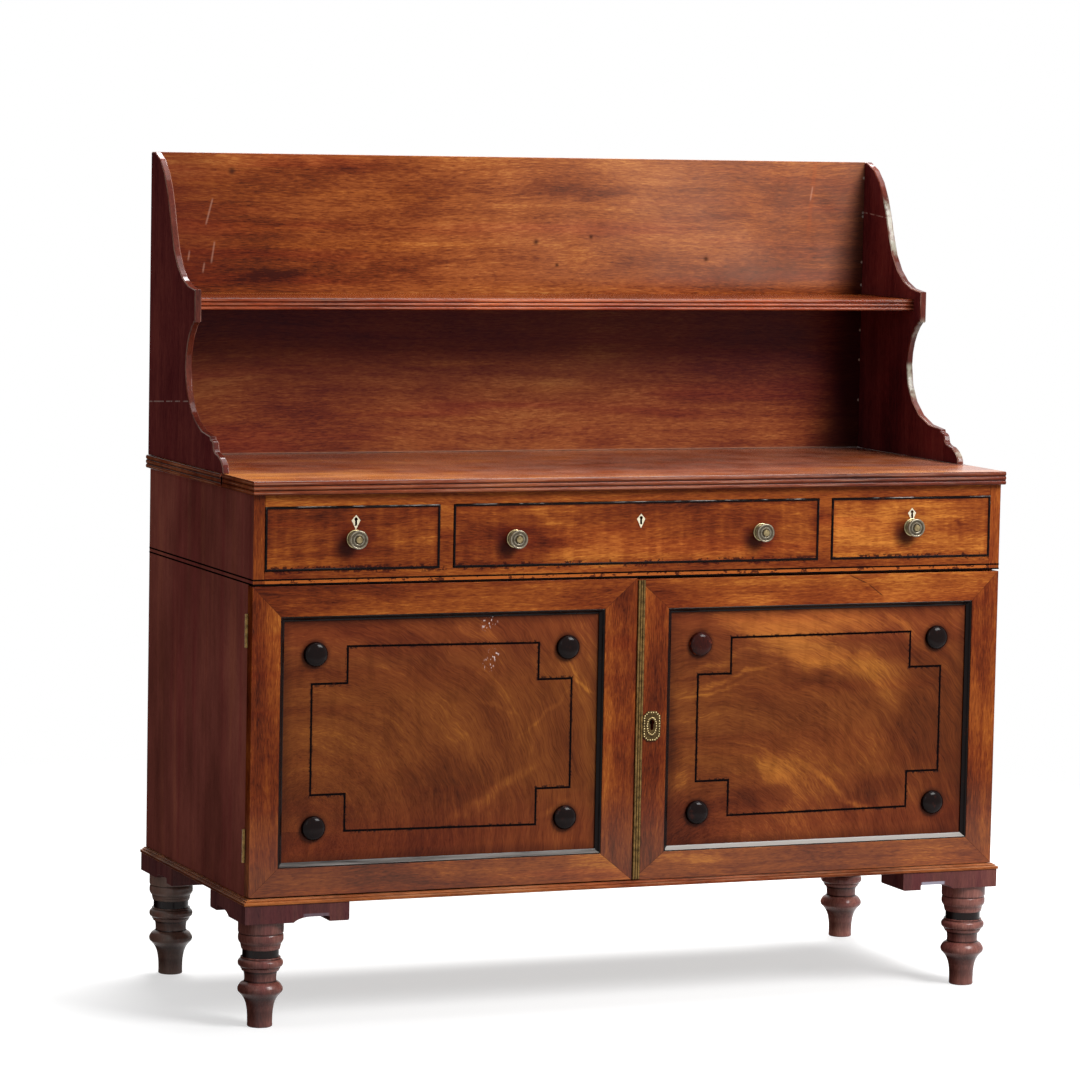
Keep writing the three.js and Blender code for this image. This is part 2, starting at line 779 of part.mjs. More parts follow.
// The top board has reeds along its front. Along each side they run from the back to the
// foot of the gallery, and from there to the front corner the end is plain.
function topBoard() {
  const endX = halfWidth + topSideOverhang;
  const reedRoot = endX - reedDepth;
  const side = [
    [carcassDepth, topBottom], [carcassDepth, topSurface],
    ...reededEdge(-topFrontOverhang + reedDepth, topBottom, topSurface).reverse(),
  ];
  let board = alongX(outline(side), -endX, endX);
  const plainX = endX - plainEndSetback;
  const sideEdge = reededEdge(-reedRoot, topBottom, topSurface).map(([v, h]) => [-v, h]);
  const reeds = alongY(
    outline([[plainX - cutOverrun, topBottom], ...sideEdge, [plainX - cutOverrun, topSurface]]),
    galleryFootSetback, carcassDepth,
  );
  const beyond = block(
    plainX, endX + cutOverrun, -topFrontOverhang - cutOverrun, carcassDepth + cutOverrun,
    topBottom - cutOverrun, topSurface + cutOverrun,
  );
  for (const face of [(s) => s, mirrorX])
    board = board.subtract(face(beyond)).add(face(reeds));
  return board;
}
add("top_board", topBoard(), "mahogany");

// Base

function baseMoulding() {
  const level = (projection, z) => [
    -halfWidth - projection, halfWidth + projection, -projection, carcassDepth, z,
  ];
  const levels = baseMouldingShares.map(([across, up]) =>
    level(across * baseMouldingProjection, baseMouldingBottom + up * baseMouldingHeight));
  const opening = block(
    -halfWidth + baseRailWidth, halfWidth - baseRailWidth, baseRailWidth,
    carcassDepth - baseRailWidth, baseMouldingBottom - cutOverrun, baseTop + cutOverrun,
  );
  return stackedRectangles(levels).subtract(opening).subtract(flushBoltMortise(-1));
}
add("base_moulding", baseMoulding(), "mahogany");

// The lower edge of a bracket arm, from the corner outwards.
function bracketArm() {
  const top = bracketBottom + bracketHeight;
  const thin = bracketBottom + bracketCutShare * bracketHeight;
  const arm = new THREE.Shape();
  arm.moveTo(0, top);
  arm.lineTo(0, bracketBottom);
  arm.lineTo(bracketFlatShare * bracketLength, bracketBottom);
  arm.quadraticCurveTo(
    bracketCurveShare * bracketLength, thin, bracketRiseShare * bracketLength, thin,
  );
  const riser = bracketBlockShare * bracketLength;
  arm.lineTo(riser - bracketRiserRadius, thin);
  arm.quadraticCurveTo(riser, thin, riser, thin - bracketRiserRadius);
  arm.lineTo(riser, bracketBottom);
  arm.lineTo(bracketLength - bracketEndRadius, bracketBottom);
  arm.quadraticCurveTo(
    bracketLength, bracketBottom, bracketLength, bracketBottom + bracketEndRadius,
  );
  arm.lineTo(bracketLength, top);
  return arm;
}

// A corner bracket whose corner is at 0, 0 and whose arms run along +X and +Y.
function cornerBracket() {
  const footX = footInset + bracketProjection;
  return alongY(bracketArm(), 0, bracketDepth)
    .add(alongX(bracketArm(), 0, bracketDepth))
    .subtract(rod(
      holeRadius(footSpigotRadius), footX, footX, bracketBottom - cutOverrun,
      footHeight + footSpigotLength + seatGap,
    ));
}

function foot() {
  const profile = footProfileShares.map(([r, h]) => [r * footRadius, h * footHeight]);
  profile.push([footSpigotRadius, footHeight], [footSpigotRadius, footHeight + footSpigotLength]);
  profile.push([0, footHeight + footSpigotLength]);
  return turned(profile, footFacets);
}

const frontCornerY = -bracketProjection;
const backCornerY = carcassDepth;
const cornerX = halfWidth + bracketProjection;
const bracket = cornerBracket();
const footTurning = foot();
const backBracket = bracket.mirror([0, 1, 0]);
add("bracket_front_left", bracket.translate([-cornerX, frontCornerY, 0]), "mahogany");
add("bracket_front_right", mirrorX(bracket).translate([cornerX, frontCornerY, 0]), "mahogany");
add("bracket_back_left", backBracket.translate([-cornerX, backCornerY, 0]), "mahogany");
add("bracket_back_right", mirrorX(backBracket).translate([cornerX, backCornerY, 0]), "mahogany");

const footX = halfWidth - footInset;
const footOffset = footInset + bracketProjection;
add("foot_front_left", footTurning.translate([-footX, frontCornerY + footOffset, 0]), "mahogany");
add("foot_front_right", footTurning.translate([footX, frontCornerY + footOffset, 0]), "mahogany");
add("foot_back_left", footTurning.translate([-footX, backCornerY - footOffset, 0]), "mahogany");
add("foot_back_right", footTurning.translate([footX, backCornerY - footOffset, 0]), "mahogany");

// Gallery

const galleryEndX = halfWidth + galleryEndOverhang;
const galleryInnerX = galleryEndX - galleryEndThickness;
const galleryShelfBottom = galleryBottom + galleryShelfRise;
const noseBottom = galleryShelfBottom - galleryNoseDrop;
const noseTop = noseBottom + galleryNoseHeight;
const housingX = galleryInnerX + galleryHousingDepth;

// The scrolled outline of a gallery end. Its back and lower edges run on past their place,
// to be cut square after the long edges are rounded.
function galleryEndOutline() {
  const reach = carcassDepth - galleryFootSetback;
  const at = (u) => galleryFootSetback + u * reach;
  const low = (v) => galleryBottom + v * (noseBottom - galleryBottom);
  const high = (v) => noseTop + v * (galleryTop - noseTop);
  const edge = new THREE.Shape();
  edge.moveTo(carcassDepth + cutOverrun, galleryBottom - cutOverrun);
  edge.lineTo(at(0), galleryBottom - cutOverrun);
  edge.lineTo(at(0), galleryBottom);
  for (const [a, b, c, d, e, f] of galleryLowerShares)
    edge.bezierCurveTo(at(a), low(b), at(c), low(d), at(e), low(f));
  edge.lineTo(at(galleryNoseShare), noseBottom);
  edge.lineTo(at(galleryNoseShare), noseTop);
  edge.lineTo(at(galleryNoseTopShare), noseTop);
  for (const [a, b, c, d, e, f] of galleryUpperShares)
    edge.bezierCurveTo(at(a), high(b), at(c), high(d), at(e), high(f));
  edge.lineTo(carcassDepth + cutOverrun, galleryTop);
  return edge;
}

function galleryEnd() {
  const rounding = {
    bevelEnabled: true, bevelThickness: galleryEdgeRound, bevelSize: galleryEdgeRound,
    bevelOffset: -galleryEdgeRound, bevelSegments: 1,
  };
  const board = alongX(
    galleryEndOutline(), galleryInnerX + galleryEdgeRound, galleryEndX - galleryEdgeRound, rounding,
  );
  const keep = block(
    galleryInnerX - cutOverrun, galleryEndX + cutOverrun, galleryFootSetback - cutOverrun,
    carcassDepth, galleryBottom, galleryTop + cutOverrun,
  );
  const housing = block(
    galleryInnerX - cutOverrun, housingX, galleryShelfSetback - seatGap, carcassDepth - galleryBackThickness,
    galleryShelfBottom - seatGap, galleryShelfBottom + galleryShelfThickness + seatGap,
  );
  return board.intersect(keep).subtract(housing);
}
const rightGalleryEnd = galleryEnd();
add("gallery_right_end", rightGalleryEnd, "darkMahogany");
add("gallery_left_end", mirrorX(rightGalleryEnd), "darkMahogany");

const galleryBackHalfWidth = galleryInnerX - seatGap;
add(
  "gallery_back",
  block(
    -galleryBackHalfWidth, galleryBackHalfWidth, carcassDepth - galleryBackThickness, carcassDepth,
    galleryBottom, galleryTop,
  ),
  "mahogany",
);

function galleryShelf() {
  const top = galleryShelfBottom + galleryShelfThickness;
  const back = carcassDepth - galleryBackThickness - seatGap;
  const section = [
    [back, galleryShelfBottom], [back, top],
    ...reededEdge(galleryShelfSetback + reedDepth, galleryShelfBottom, top).reverse(),
  ];
  return alongX(outline(section), -housingX + seatGap, housingX - seatGap);
}
add("gallery_shelf", galleryShelf(), "mahogany");

// Hinges on the carcass and on the doors
const sides = [["left", mirrorX], ["right", (solid) => solid]];
for (const [side, face] of sides) {
  const heights = hingeHeights(doors[side].bottom);
  for (const [level, z] of Object.entries(heights)) {
    add(`${side}_${level}_hinge_fixed_leaf`, face(fixedLeaf(z)), "brass");
    add(`${side}_${level}_hinge_door_leaf`, face(doorLeaf(z)), "brass");
  }
}

// Doors

function hingedFrame(side, face) {
  const heights = hingeHeights(doors[side].bottom);
  return doorFrame(doors[side])
    .subtract(face(hingeRecess(heights.top, -1)))
    .subtract(face(hingeRecess(heights.bottom, -1)));
}

// The strip's own section: a flat back let into the door, and reeds on its face.
function stripSection(x0) {
  const face = reededEdge(-stripProjection + reedDepth, x0, x0 + stripWidth);
  return outline([
    [x0 + stripWidth, stripRebate], [x0, stripRebate], ...face.map(([depth, x]) => [x, depth]),
  ]);
}

const leftFrame = hingedFrame("left", mirrorX)
  .subtract(flushBoltChannel(doors.left, 1))
  .subtract(flushBoltChannel(doors.left, -1))
  .subtract(doorLockBolt(seatGap, lockBoltThrow + doorMeetingGap + 2 * seatGap));
add("left_door_frame", leftFrame, "mahogany");
add("left_door_panel", doorPanel(doors.left), "mahogany");
add("left_door_moulding", panelMoulding(doors.left), "ebonised");
add("left_door_top_bolt", flushBolt(doors.left, 1), "brass");
add("left_door_bottom_bolt", flushBolt(doors.left, -1), "brass");

const keyholeTop = doorLockZ + doorKeyhole.length / 2;
const rightFrame = hingedFrame("right", (solid) => solid)
  .subtract(doorLockBody(seatGap))
  .subtract(keyhole(doorKeyhole, doorLockX, keyholeTop, -cutOverrun, lockFront))
  .subtract(block(
    doors.right.x0 - cutOverrun, stripX + stripWidth + seatGap, -cutOverrun, stripRebate + seatGap,
    doors.right.bottom - cutOverrun, doors.right.bottom + doorHeight + cutOverrun,
  ));
add("right_door_frame", rightFrame, "mahogany");
add("right_door_panel", doorPanel(doors.right), "mahogany");
add("right_door_moulding", panelMoulding(doors.right), "ebonised");
add(
  "meeting_strip",
  alongZ(
    stripSection(stripX), doors.right.bottom + stripEndGap,
    doors.right.bottom + doorHeight - stripEndGap,
  ),
  "brass",
);

function keyPlate() {
  const [w, h, c] = [keyPlateWidth / 2, keyPlateHeight / 2, keyPlateCorner];
  const corners = [
    [-w, -h + c], [-w + c, -h], [w - c, -h], [w, -h + c], [w, h - c], [w - c, h], [-w + c, h],
    [-w, h - c],
  ];
  const plate = outline(corners.map(([x, z]) => [doorLockX + x, doorLockZ + z]));
  return alongY(plate, -seatGap - keyPlateThickness, -seatGap)
    .subtract(keyhole(doorKeyhole, doorLockX, keyholeTop, -keyPlateThickness - cutOverrun, cutOverrun));
}
add("door_key_plate", keyPlate(), "brass");

add(
  "door_lock",
  doorLockBody(0)
    .subtract(doorLockBolt(seatGap, cutOverrun))
    .subtract(keyhole(doorKeyhole, doorLockX, keyholeTop, lockFront - cutOverrun, lockBoltY)),
  "brass",
);
add("door_lock_bolt", doorLockBolt(0, 0), "steel");

// Drawers

// One dovetail of a drawer side, wider at its tip, which lies in the back of the front.
function dovetails(grow) {
  const pitch = drawerBoxHeight / dovetailCount;
  const half = (pitch * (1 - dovetailPinShare)) / 2;
  const [tip, root] = [drawerFrontThickness - dovetailLength, drawerFrontThickness];
  return Array.from({ length: dovetailCount }, (_, n) => {
    const z = frontBottom + pitch * (n + 1 / 2);
    const past = root + (grow > 0 ? cutOverrun : 2 * seatGap);
    return outline([
      [tip - grow, z - half - grow], [past, z - half + dovetailSlope - grow],
      [past, z + half - dovetailSlope + grow], [tip - grow, z + half + grow],
    ]);
  });
}

function drawerBox(drawer) {
  const half = drawer.width / 2 - drawerBoxGap;
  const front = drawerFrontThickness + seatGap;
  const back = backFront - drawerBackGap;
  const inner = half - drawerSideThickness;
  const floor = frontBottom + drawerBottomRise;
  let box = block(
    drawer.x - inner - seatGap, drawer.x + inner + seatGap, front, back,
    floor, floor + drawerBottomThickness,
  ).add(block(
    drawer.x - inner - seatGap, drawer.x + inner + seatGap, back - drawerSideThickness, back,
    floor, frontBottom + drawerBoxHeight - drawerBackDrop,
  ));
  for (const [x0, x1] of [[-half, -inner], [inner, half]]) {
    box = box.add(block(
      drawer.x + x0, drawer.x + x1, front, back, frontBottom, frontBottom + drawerBoxHeight,
    ));
    for (const tail of dovetails(0)) box = box.add(alongX(tail, drawer.x + x0, drawer.x + x1));
  }
  return box;
}

function cockbead(drawer) {
  const half = drawer.width / 2 - drawerGap;
  const ring = (inset, y) => [
    drawer.x - half + inset, drawer.x + half - inset, frontBottom + inset, frontTop - inset, y,
  ];
  const nose = cockbeadProjection / 2;
  return mitredFrame([
    ring(0, cockbeadProjection), ring(0, -nose), ring(cockbeadWidth / 3, -cockbeadProjection),
    ring(cockbeadWidth * (2 / 3), -cockbeadProjection), ring(cockbeadWidth, -nose),
    ring(cockbeadWidth, cockbeadProjection),
  ]);
}

function drawerLock(drawer, grow) {
  const y1 = grow > 0 ? drawerFrontThickness + cutOverrun : drawerFrontThickness;
  const top = frontTop - (grow > 0 ? -cutOverrun : seatGap);
  const [caseHalf, plateHalf] = [lockCaseWidth / 2 + grow, selvageLength / 2 + grow];
  const lockFloor = frontTop - lockCaseHeight - seatGap - grow;
  return block(
    drawer.x - caseHalf, drawer.x + caseHalf, lockFront - grow, y1, lockFloor,
    frontTop - seatGap - selvageThickness / 2,
  ).add(block(
    drawer.x - plateHalf, drawer.x + plateHalf, lockFront - grow, y1,
    frontTop - seatGap - selvageThickness - grow, top,
  ));
}

function kite(drawer, y0, y1, grow) {
  const { x, z } = drawer.kite;
  const half = kiteWidth / 2 + grow;
  const [low, high] = [z - kiteHeight / 2 - grow, z + kiteHeight / 2 + grow];
  const shoulder = high - kiteShoulderShare * (high - low);
  return alongY(
    outline([
      [x, low], [x + half, shoulder], [x, high], [x - half, shoulder],
    ]),
    y0, y1,
  );
}

function drawerFront(drawer) {
  const half = drawer.width / 2 - drawerGap;
  const sideOuter = drawer.width / 2 - drawerBoxGap;
  const sideInner = sideOuter - drawerSideThickness - seatGap;
  let front = block(
    drawer.x - half, drawer.x + half, 0, drawerFrontThickness, frontBottom, frontTop,
  )
    .add(cockbead(drawer))
    .subtract(drawerLock(drawer, seatGap))
    .subtract(kite(drawer, -cutOverrun, kiteDepth, seatGap))
    .subtract(keyhole(kiteKeyhole, drawer.kite.x, keyholeZ(drawer), 0, lockFront));
  for (const tail of dovetails(seatGap))
    for (const [x0, x1] of [[-half - cutOverrun, -sideInner], [sideInner, half + cutOverrun]])
      front = front.subtract(alongX(tail, drawer.x + x0, drawer.x + x1));
  for (const { x, z } of drawer.knobs)
    front = front.subtract(
      rodAlongY(holeRadius(knobShankRadius), x, z, -cutOverrun, knobShankLength + seatGap),
    );
  return front;
}

function knob(x, z) {
  const plate = knobPlateThicknessShare * knobReach;
  const profile = [
    [0, -knobShankLength], [knobShankRadius, -knobShankLength], [knobShankRadius, seatGap],
    [knobPlateRadius, seatGap], [knobPlateRadius, plate],
    ...knobProfileShares.map(([r, reach]) => [r * knobFaceRadius, reach * knobReach]),
    [0, knobReach],
  ];
  return turned(profile, knobFacets).rotate([90, 0, 0]).translate([x, 0, z]);
}

for (const [side, drawer] of Object.entries(drawers)) {
  add(`${side}_drawer_front`, drawerFront(drawer), "mahogany");
  add(`${side}_drawer_box`, drawerBox(drawer), "innerWood");
  drawer.knobs.forEach(({ x, z }, n) => {
    const suffix = drawer.knobs.length > 1 ? `_${n + 1}` : "";
    add(`${side}_drawer_knob${suffix}`, knob(x, z), "brass");
  });
  const plate = kite(drawer, -kiteProjection, kiteDepth - seatGap, 0)
    .subtract(keyhole(kiteKeyhole, drawer.kite.x, keyholeZ(drawer), -cutOverrun, kiteDepth + cutOverrun));
  add(`${side}_drawer_key_plate`, plate, "bone");
  const channel = drawerLockBolt(drawer, seatGap, cutOverrun);
  const keyway = keyhole(kiteKeyhole, drawer.kite.x, keyholeZ(drawer), lockFront - cutOverrun, lockBoltY);
  add(`${side}_drawer_lock`, drawerLock(drawer, 0).subtract(channel).subtract(keyway), "brass");
  add(`${side}_drawer_bolt`, drawerLockBolt(drawer, 0, 0), "steel");
}

chiffonier.position.y = frontShift;

export default chiffonier;
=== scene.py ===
"""Dresses the chiffonier: polished mahogany, ebony strings and beads, aged brass, bone.

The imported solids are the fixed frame. Every visible solid is either given a finish or
replaced by an eased, turned or traced piece that sits where the solid is. Metres, +Z up,
the doors face -Y and the floor is at zero.
"""

from __future__ import annotations

import logging
import math
from collections.abc import Callable, Iterator, Sequence
from contextlib import contextmanager
from dataclasses import dataclass
from enum import Enum
from functools import partial

import bpy
from mathutils import Matrix, Vector

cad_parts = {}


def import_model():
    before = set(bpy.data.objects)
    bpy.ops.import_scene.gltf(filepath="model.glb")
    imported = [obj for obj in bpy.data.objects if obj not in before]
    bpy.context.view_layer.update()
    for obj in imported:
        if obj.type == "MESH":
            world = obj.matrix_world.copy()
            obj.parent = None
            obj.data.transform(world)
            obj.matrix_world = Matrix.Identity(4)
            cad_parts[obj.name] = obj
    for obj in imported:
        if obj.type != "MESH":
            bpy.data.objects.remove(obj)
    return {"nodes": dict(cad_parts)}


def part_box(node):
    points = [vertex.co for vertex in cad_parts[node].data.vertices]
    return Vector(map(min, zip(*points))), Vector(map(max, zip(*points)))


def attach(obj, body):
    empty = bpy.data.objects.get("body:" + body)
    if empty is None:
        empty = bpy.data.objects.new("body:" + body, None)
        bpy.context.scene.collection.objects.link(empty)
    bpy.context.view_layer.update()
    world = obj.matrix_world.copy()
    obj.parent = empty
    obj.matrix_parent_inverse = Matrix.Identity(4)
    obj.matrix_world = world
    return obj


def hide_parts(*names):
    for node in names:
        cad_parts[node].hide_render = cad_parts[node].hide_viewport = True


log = logging.getLogger("chiffonier")

MM = 0.001
MERGE = 1e-6
SOLID_MERGE = 2e-6
FLAT_DEGREES = 0.6
BAND_SOFT = 50.0
TURNED_SOFT = 35.0
BEADS_SOFT = 60.0
BAND_STEPS = 4
FLAT_WEIGHT = 80
HOLLOW_SHARE = 0.035
GROOVE_GAIN = 3.0
REEDS = 3
REED_TONES = ((66, 26, 16), (108, 48, 28), (134, 66, 38), (168, 98, 60))
Socket = bpy.types.NodeSocket
Piece = bpy.types.Object
Finish = bpy.types.Material
Colour = tuple[float, float, float]
Point = tuple[float, float, float]


class Axis(Enum):
    """The direction that a board's grain runs in."""

    X = 0
    Y = 1
    Z = 2


class Slot(Enum):
    """The material slots."""

    MAHOGANY = "mahogany"
    DARK_MAHOGANY = "dark_mahogany"
    INNER_WOOD = "inner_wood"
    EBONISED = "ebonised"
    BRASS = "brass"
    BONE = "bone"
    STEEL = "steel"


# Making pieces


@contextmanager
def editing(piece: Piece) -> Iterator[None]:
    """Holds a piece alone in edit mode, all of it selected.

    Args:
        piece: The mesh object to edit.
    """
    take(piece)
    bpy.ops.object.mode_set(mode="EDIT")
    bpy.ops.mesh.select_all(action="SELECT")
    yield
    bpy.ops.object.mode_set(mode="OBJECT")


def take(piece: Piece) -> None:
    """Selects a piece alone and makes it the active object.

    Args:
        piece: The object to select.
    """
    bpy.ops.object.select_all(action="DESELECT")
    piece.select_set(True)
    bpy.context.view_layer.objects.active = piece


def settle(piece: Piece) -> None:
    """Puts a piece's place into its mesh, so that its object sits at the origin.

    Args:
        piece: The object to settle.
    """
    take(piece)
    bpy.ops.object.transform_apply(location=True, rotation=True, scale=True)


def trace(name: str, points: Sequence[Point]) -> Piece:
    """Draws a line from point to point by extruding a single vertex.

    Args:
        name: The new piece's name.
        points: The points in the shared frame, in metres.

    Returns:
        The piece, a chain of edges.
    """
    bpy.ops.object.select_all(action="DESELECT")
    bpy.ops.mesh.primitive_plane_add(size=MM, location=points[0])
    piece = bpy.context.active_object
    piece.name = piece.data.name = name
    with editing(piece):
        bpy.ops.mesh.merge(type="CENTER")
        for here, there in zip(points, points[1:]):
            step = tuple(b - a for a, b in zip(here, there))
            bpy.ops.mesh.extrude_vertices_move(TRANSFORM_OT_translate={"value": step})
    settle(piece)
    return piece


def mend(piece: Piece) -> None:
    """Merges a piece's doubled vertices and points its faces outwards.

    Args:
        piece: The mesh object to mend.
    """
    with editing(piece):
        bpy.ops.mesh.remove_doubles(threshold=MERGE)
        bpy.ops.mesh.normals_make_consistent(inside=False)


def outlined(name: str, outline: Sequence[Point]) -> Piece:
    """Makes one flat face inside a closed outline.

    Args:
        name: The new piece's name.
        outline: The corners, in order, in the shared frame.

    Returns:
        The piece, a single face.
    """
    piece = trace(name, [*outline, outline[0]])
    with editing(piece):
        bpy.ops.mesh.remove_doubles(threshold=MERGE)
        bpy.ops.mesh.edge_face_add()
    return piece


def sawn(name: str, outline: Sequence[Point], thickness: Point) -> Piece:
    """Makes a board from its outline.

    Args:
        name: The new piece's name.
        outline: The corners of one face, in the shared frame.
        thickness: The way from that face to the opposite one.

    Returns:
        The closed board.
    """
    piece = outlined(name, outline)
    with editing(piece):
        bpy.ops.mesh.extrude_region_move(TRANSFORM_OT_translate={"value": thickness})
    mend(piece)
    return piece


def band(
    name: str, outline: Sequence[Point], width: float, rise: Point, rounding: float = 0.0
) -> Piece:
    """Makes a flat strip that follows an outline on its inner side, mitred at corners.

    Args:
        name: The new piece's name.
        outline: The outer corners, in the shared frame.
        width: The strip's width.
        rise: The way from the strip's back to its face.
        rounding: The radius at the long edges of its face, or 0.

    Returns:
        The closed strip.
    """
    piece = outlined(name, outline)
    with editing(piece):
        bpy.ops.mesh.inset(thickness=width, use_even_offset=True)
        bpy.ops.mesh.delete(type="ONLY_FACE")
        bpy.ops.mesh.select_all(action="SELECT")
        bpy.ops.mesh.extrude_region_move(TRANSFORM_OT_translate={"value": rise})
        if rounding:
            bpy.ops.mesh.region_to_loop()
            bpy.ops.mesh.bevel(offset=rounding, segments=BAND_STEPS, affect="EDGES")
    mend(piece)
    smooth(piece, BAND_SOFT)
    return piece


def turned(
    name: str, profile: Sequence[tuple[float, float]], foot: Point, along: Axis, facets: int
) -> Piece:
    """Turns a profile about an axis, as on a lathe.

    Args:
        name: The new piece's name.
        profile: Pairs of radius and distance along the axis, in millimetres.
        foot: The point on the axis that the distances start from, in metres.
        along: The axis: Z upwards, or Y towards the viewer of the front.
        facets: The number of steps round the axis.

    Returns:
        The closed turning.
    """
    upright = along is Axis.Z
    profile = [(r * MM, h * MM) for r, h in profile]
    points = [
        (foot[0] + r, foot[1] - (0 if upright else h), foot[2] + (h if upright else 0))
        for r, h in profile
    ]
    piece = trace(name, points)
    with editing(piece):
        bpy.ops.mesh.spin(
            steps=facets, angle=math.tau, center=foot, axis=(0, 0, 1) if upright else (0, 1, 0)
        )
    mend(piece)
    smooth(piece, TURNED_SOFT)
    depths = hollows(profile)
    levels = [h for _, h in profile]
    values = []
    for vertex in piece.data.vertices:
        away = vertex.co - Vector(foot)
        height = away.z if upright else -away.y
        radius = math.hypot(away.x, away.y if upright else away.z)
        near = min(
            range(len(levels)),
            key=lambda n: math.hypot(levels[n] - height, profile[n][0] - radius),
        )
        values.append(depths[near])
    piece.data.attributes.new("hollow", "FLOAT", "POINT").data.foreach_set("value", values)
    return piece


def hollows(profile: Sequence[tuple[float, float]]) -> list[float]:
    """Finds the hollows of a turned profile, where old polish gathers and shade falls.

    Args:
        profile: Pairs of radius and distance along the axis, in metres.

    Returns:
        For each point how hollow it is, 0 to 1.
    """
    last = len(profile) - 1
    size = max(r for r, _ in profile) * HOLLOW_SHARE
    depths = []
    for n, (r, h) in enumerate(profile):
        (r0, h0), (r1, h1) = profile[max(n - 2, 0)], profile[min(n + 2, last)]
        length = math.hypot(r1 - r0, h1 - h0) or 1.0
        rise = ((r - (r0 + r1) / 2) * (h1 - h0) - (h - (h0 + h1) / 2) * (r1 - r0)) / length
        depths.append(min(1.0, max(0.0, -rise / size)))
    return depths


def mark_grooves(piece: Piece) -> None:
    """Marks the hollow edges of a reeded or moulded piece, for its finish to darken.

    Args:
        piece: The piece.
    """
    mesh = piece.data
    sums = [[0.0, 0] for _ in mesh.vertices]
    for edge in mesh.edges:
        for here, there in (edge.vertices, reversed(edge.vertices)):
            way = (mesh.vertices[there].co - mesh.vertices[here].co).normalized()
            sums[here][0] += way.dot(mesh.vertices[here].normal)
            sums[here][1] += 1
    values = [min(1.0, max(0.0, GROOVE_GAIN * total / max(count, 1))) for total, count in sums]
    mesh.attributes.new("hollow", "FLOAT", "POINT").data.foreach_set("value", values)


def smooth(piece: Piece, degrees: float) -> None:
    """Shades a piece smooth, apart from edges sharper than an angle.

    Args:
        piece: The mesh object to shade.
        degrees: The sharpest angle that stays smooth.
    """
    take(piece)
    bpy.ops.object.shade_smooth_by_angle(angle=math.radians(degrees))


def copied(node: str) -> Piece:
    """Copies a CAD node's solid as a merged mesh of its own.

    Args:
        node: The CAD node's name.

    Returns:
        The copy, with its flat faces joined up.
    """
    source = FRAME_NODES[node]
    piece = source.copy()
    piece.data = source.data.copy()
    for key in list(piece.keys()):
        del piece[key]
    piece.parent = None
    piece.name = piece.data.name = node + "_finished"
    bpy.context.scene.collection.objects.link(piece)
    with editing(piece):
        bpy.ops.mesh.remove_doubles(threshold=SOLID_MERGE)
        bpy.ops.mesh.dissolve_limited(angle_limit=math.radians(FLAT_DEGREES))
        bpy.ops.mesh.normals_make_consistent(inside=False)
    return piece


def eased(
    node: str, width: float, segments: int = 2, angle: float = 30.0, soft: float = 40.0
) -> Piece:
    """Copies a CAD node's solid and takes the sharpness off its edges.

    Args:
        node: The CAD node's name.
        width: How far the rounding reaches from each edge.
        segments: The steps in the rounding.
        angle: Edges flatter than this, in degrees, are left.
        soft: The sharpest angle, in degrees, that is shaded smooth.

    Returns:
        The eased copy.
    """
    piece = copied(node)
    take(piece)
    bevel = piece.modifiers.new("ease", "BEVEL")
    bevel.width = width
    bevel.segments = segments
    bevel.limit_method = "ANGLE"
    bevel.angle_limit = math.radians(angle)
    bevel.harden_normals = False
    bevel.use_clamp_overlap = True
    bpy.ops.object.modifier_apply(modifier=bevel.name)
    smooth(piece, soft)
    level = piece.modifiers.new("level", "WEIGHTED_NORMAL")
    level.weight = FLAT_WEIGHT
    level.keep_sharp = True
    bpy.ops.object.modifier_apply(modifier=level.name)
    return piece


def fit(piece: Piece, body: str, slot: Slot, finish: Finish, *nodes: str) -> Piece:
    """Gives a new piece its finish and hangs it on its body.

    Args:
        piece: The new piece.
        body: The CAD body that it rides on.
        slot: Not used.
        finish: The material.
        *nodes: The CAD nodes that it stands for.

    Returns:
        The same piece.
    """
    piece.data.materials.clear()
    piece.data.materials.append(finish)
    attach(piece, body)
    if nodes:
        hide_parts(*nodes)
    log.info("%s rides on %s, in %s", piece.name, body, finish.name)
    return piece


def dress(node: str, finish: Finish) -> None:
    """Gives a CAD node, which stays as it is, its finish.

    Args:
        node: The CAD node's name.
        finish: The material.
    """
    FRAME_NODES[node].data.materials.clear()
    FRAME_NODES[node].data.materials.append(finish)
    log.info("%s stays, in %s", node, finish.name)


def face_finish(piece: Piece, finish: Finish,
                chosen: Callable[[bpy.types.MeshPolygon], bool]) -> None:
    """Gives some faces of a finished piece a second finish.

    Args:
        piece: The piece.
        finish: The second finish.
        chosen: Tells whether a face takes it.
    """
    piece.data.materials.append(finish)
    for face in piece.data.polygons:
        face.material_index = int(chosen(face))


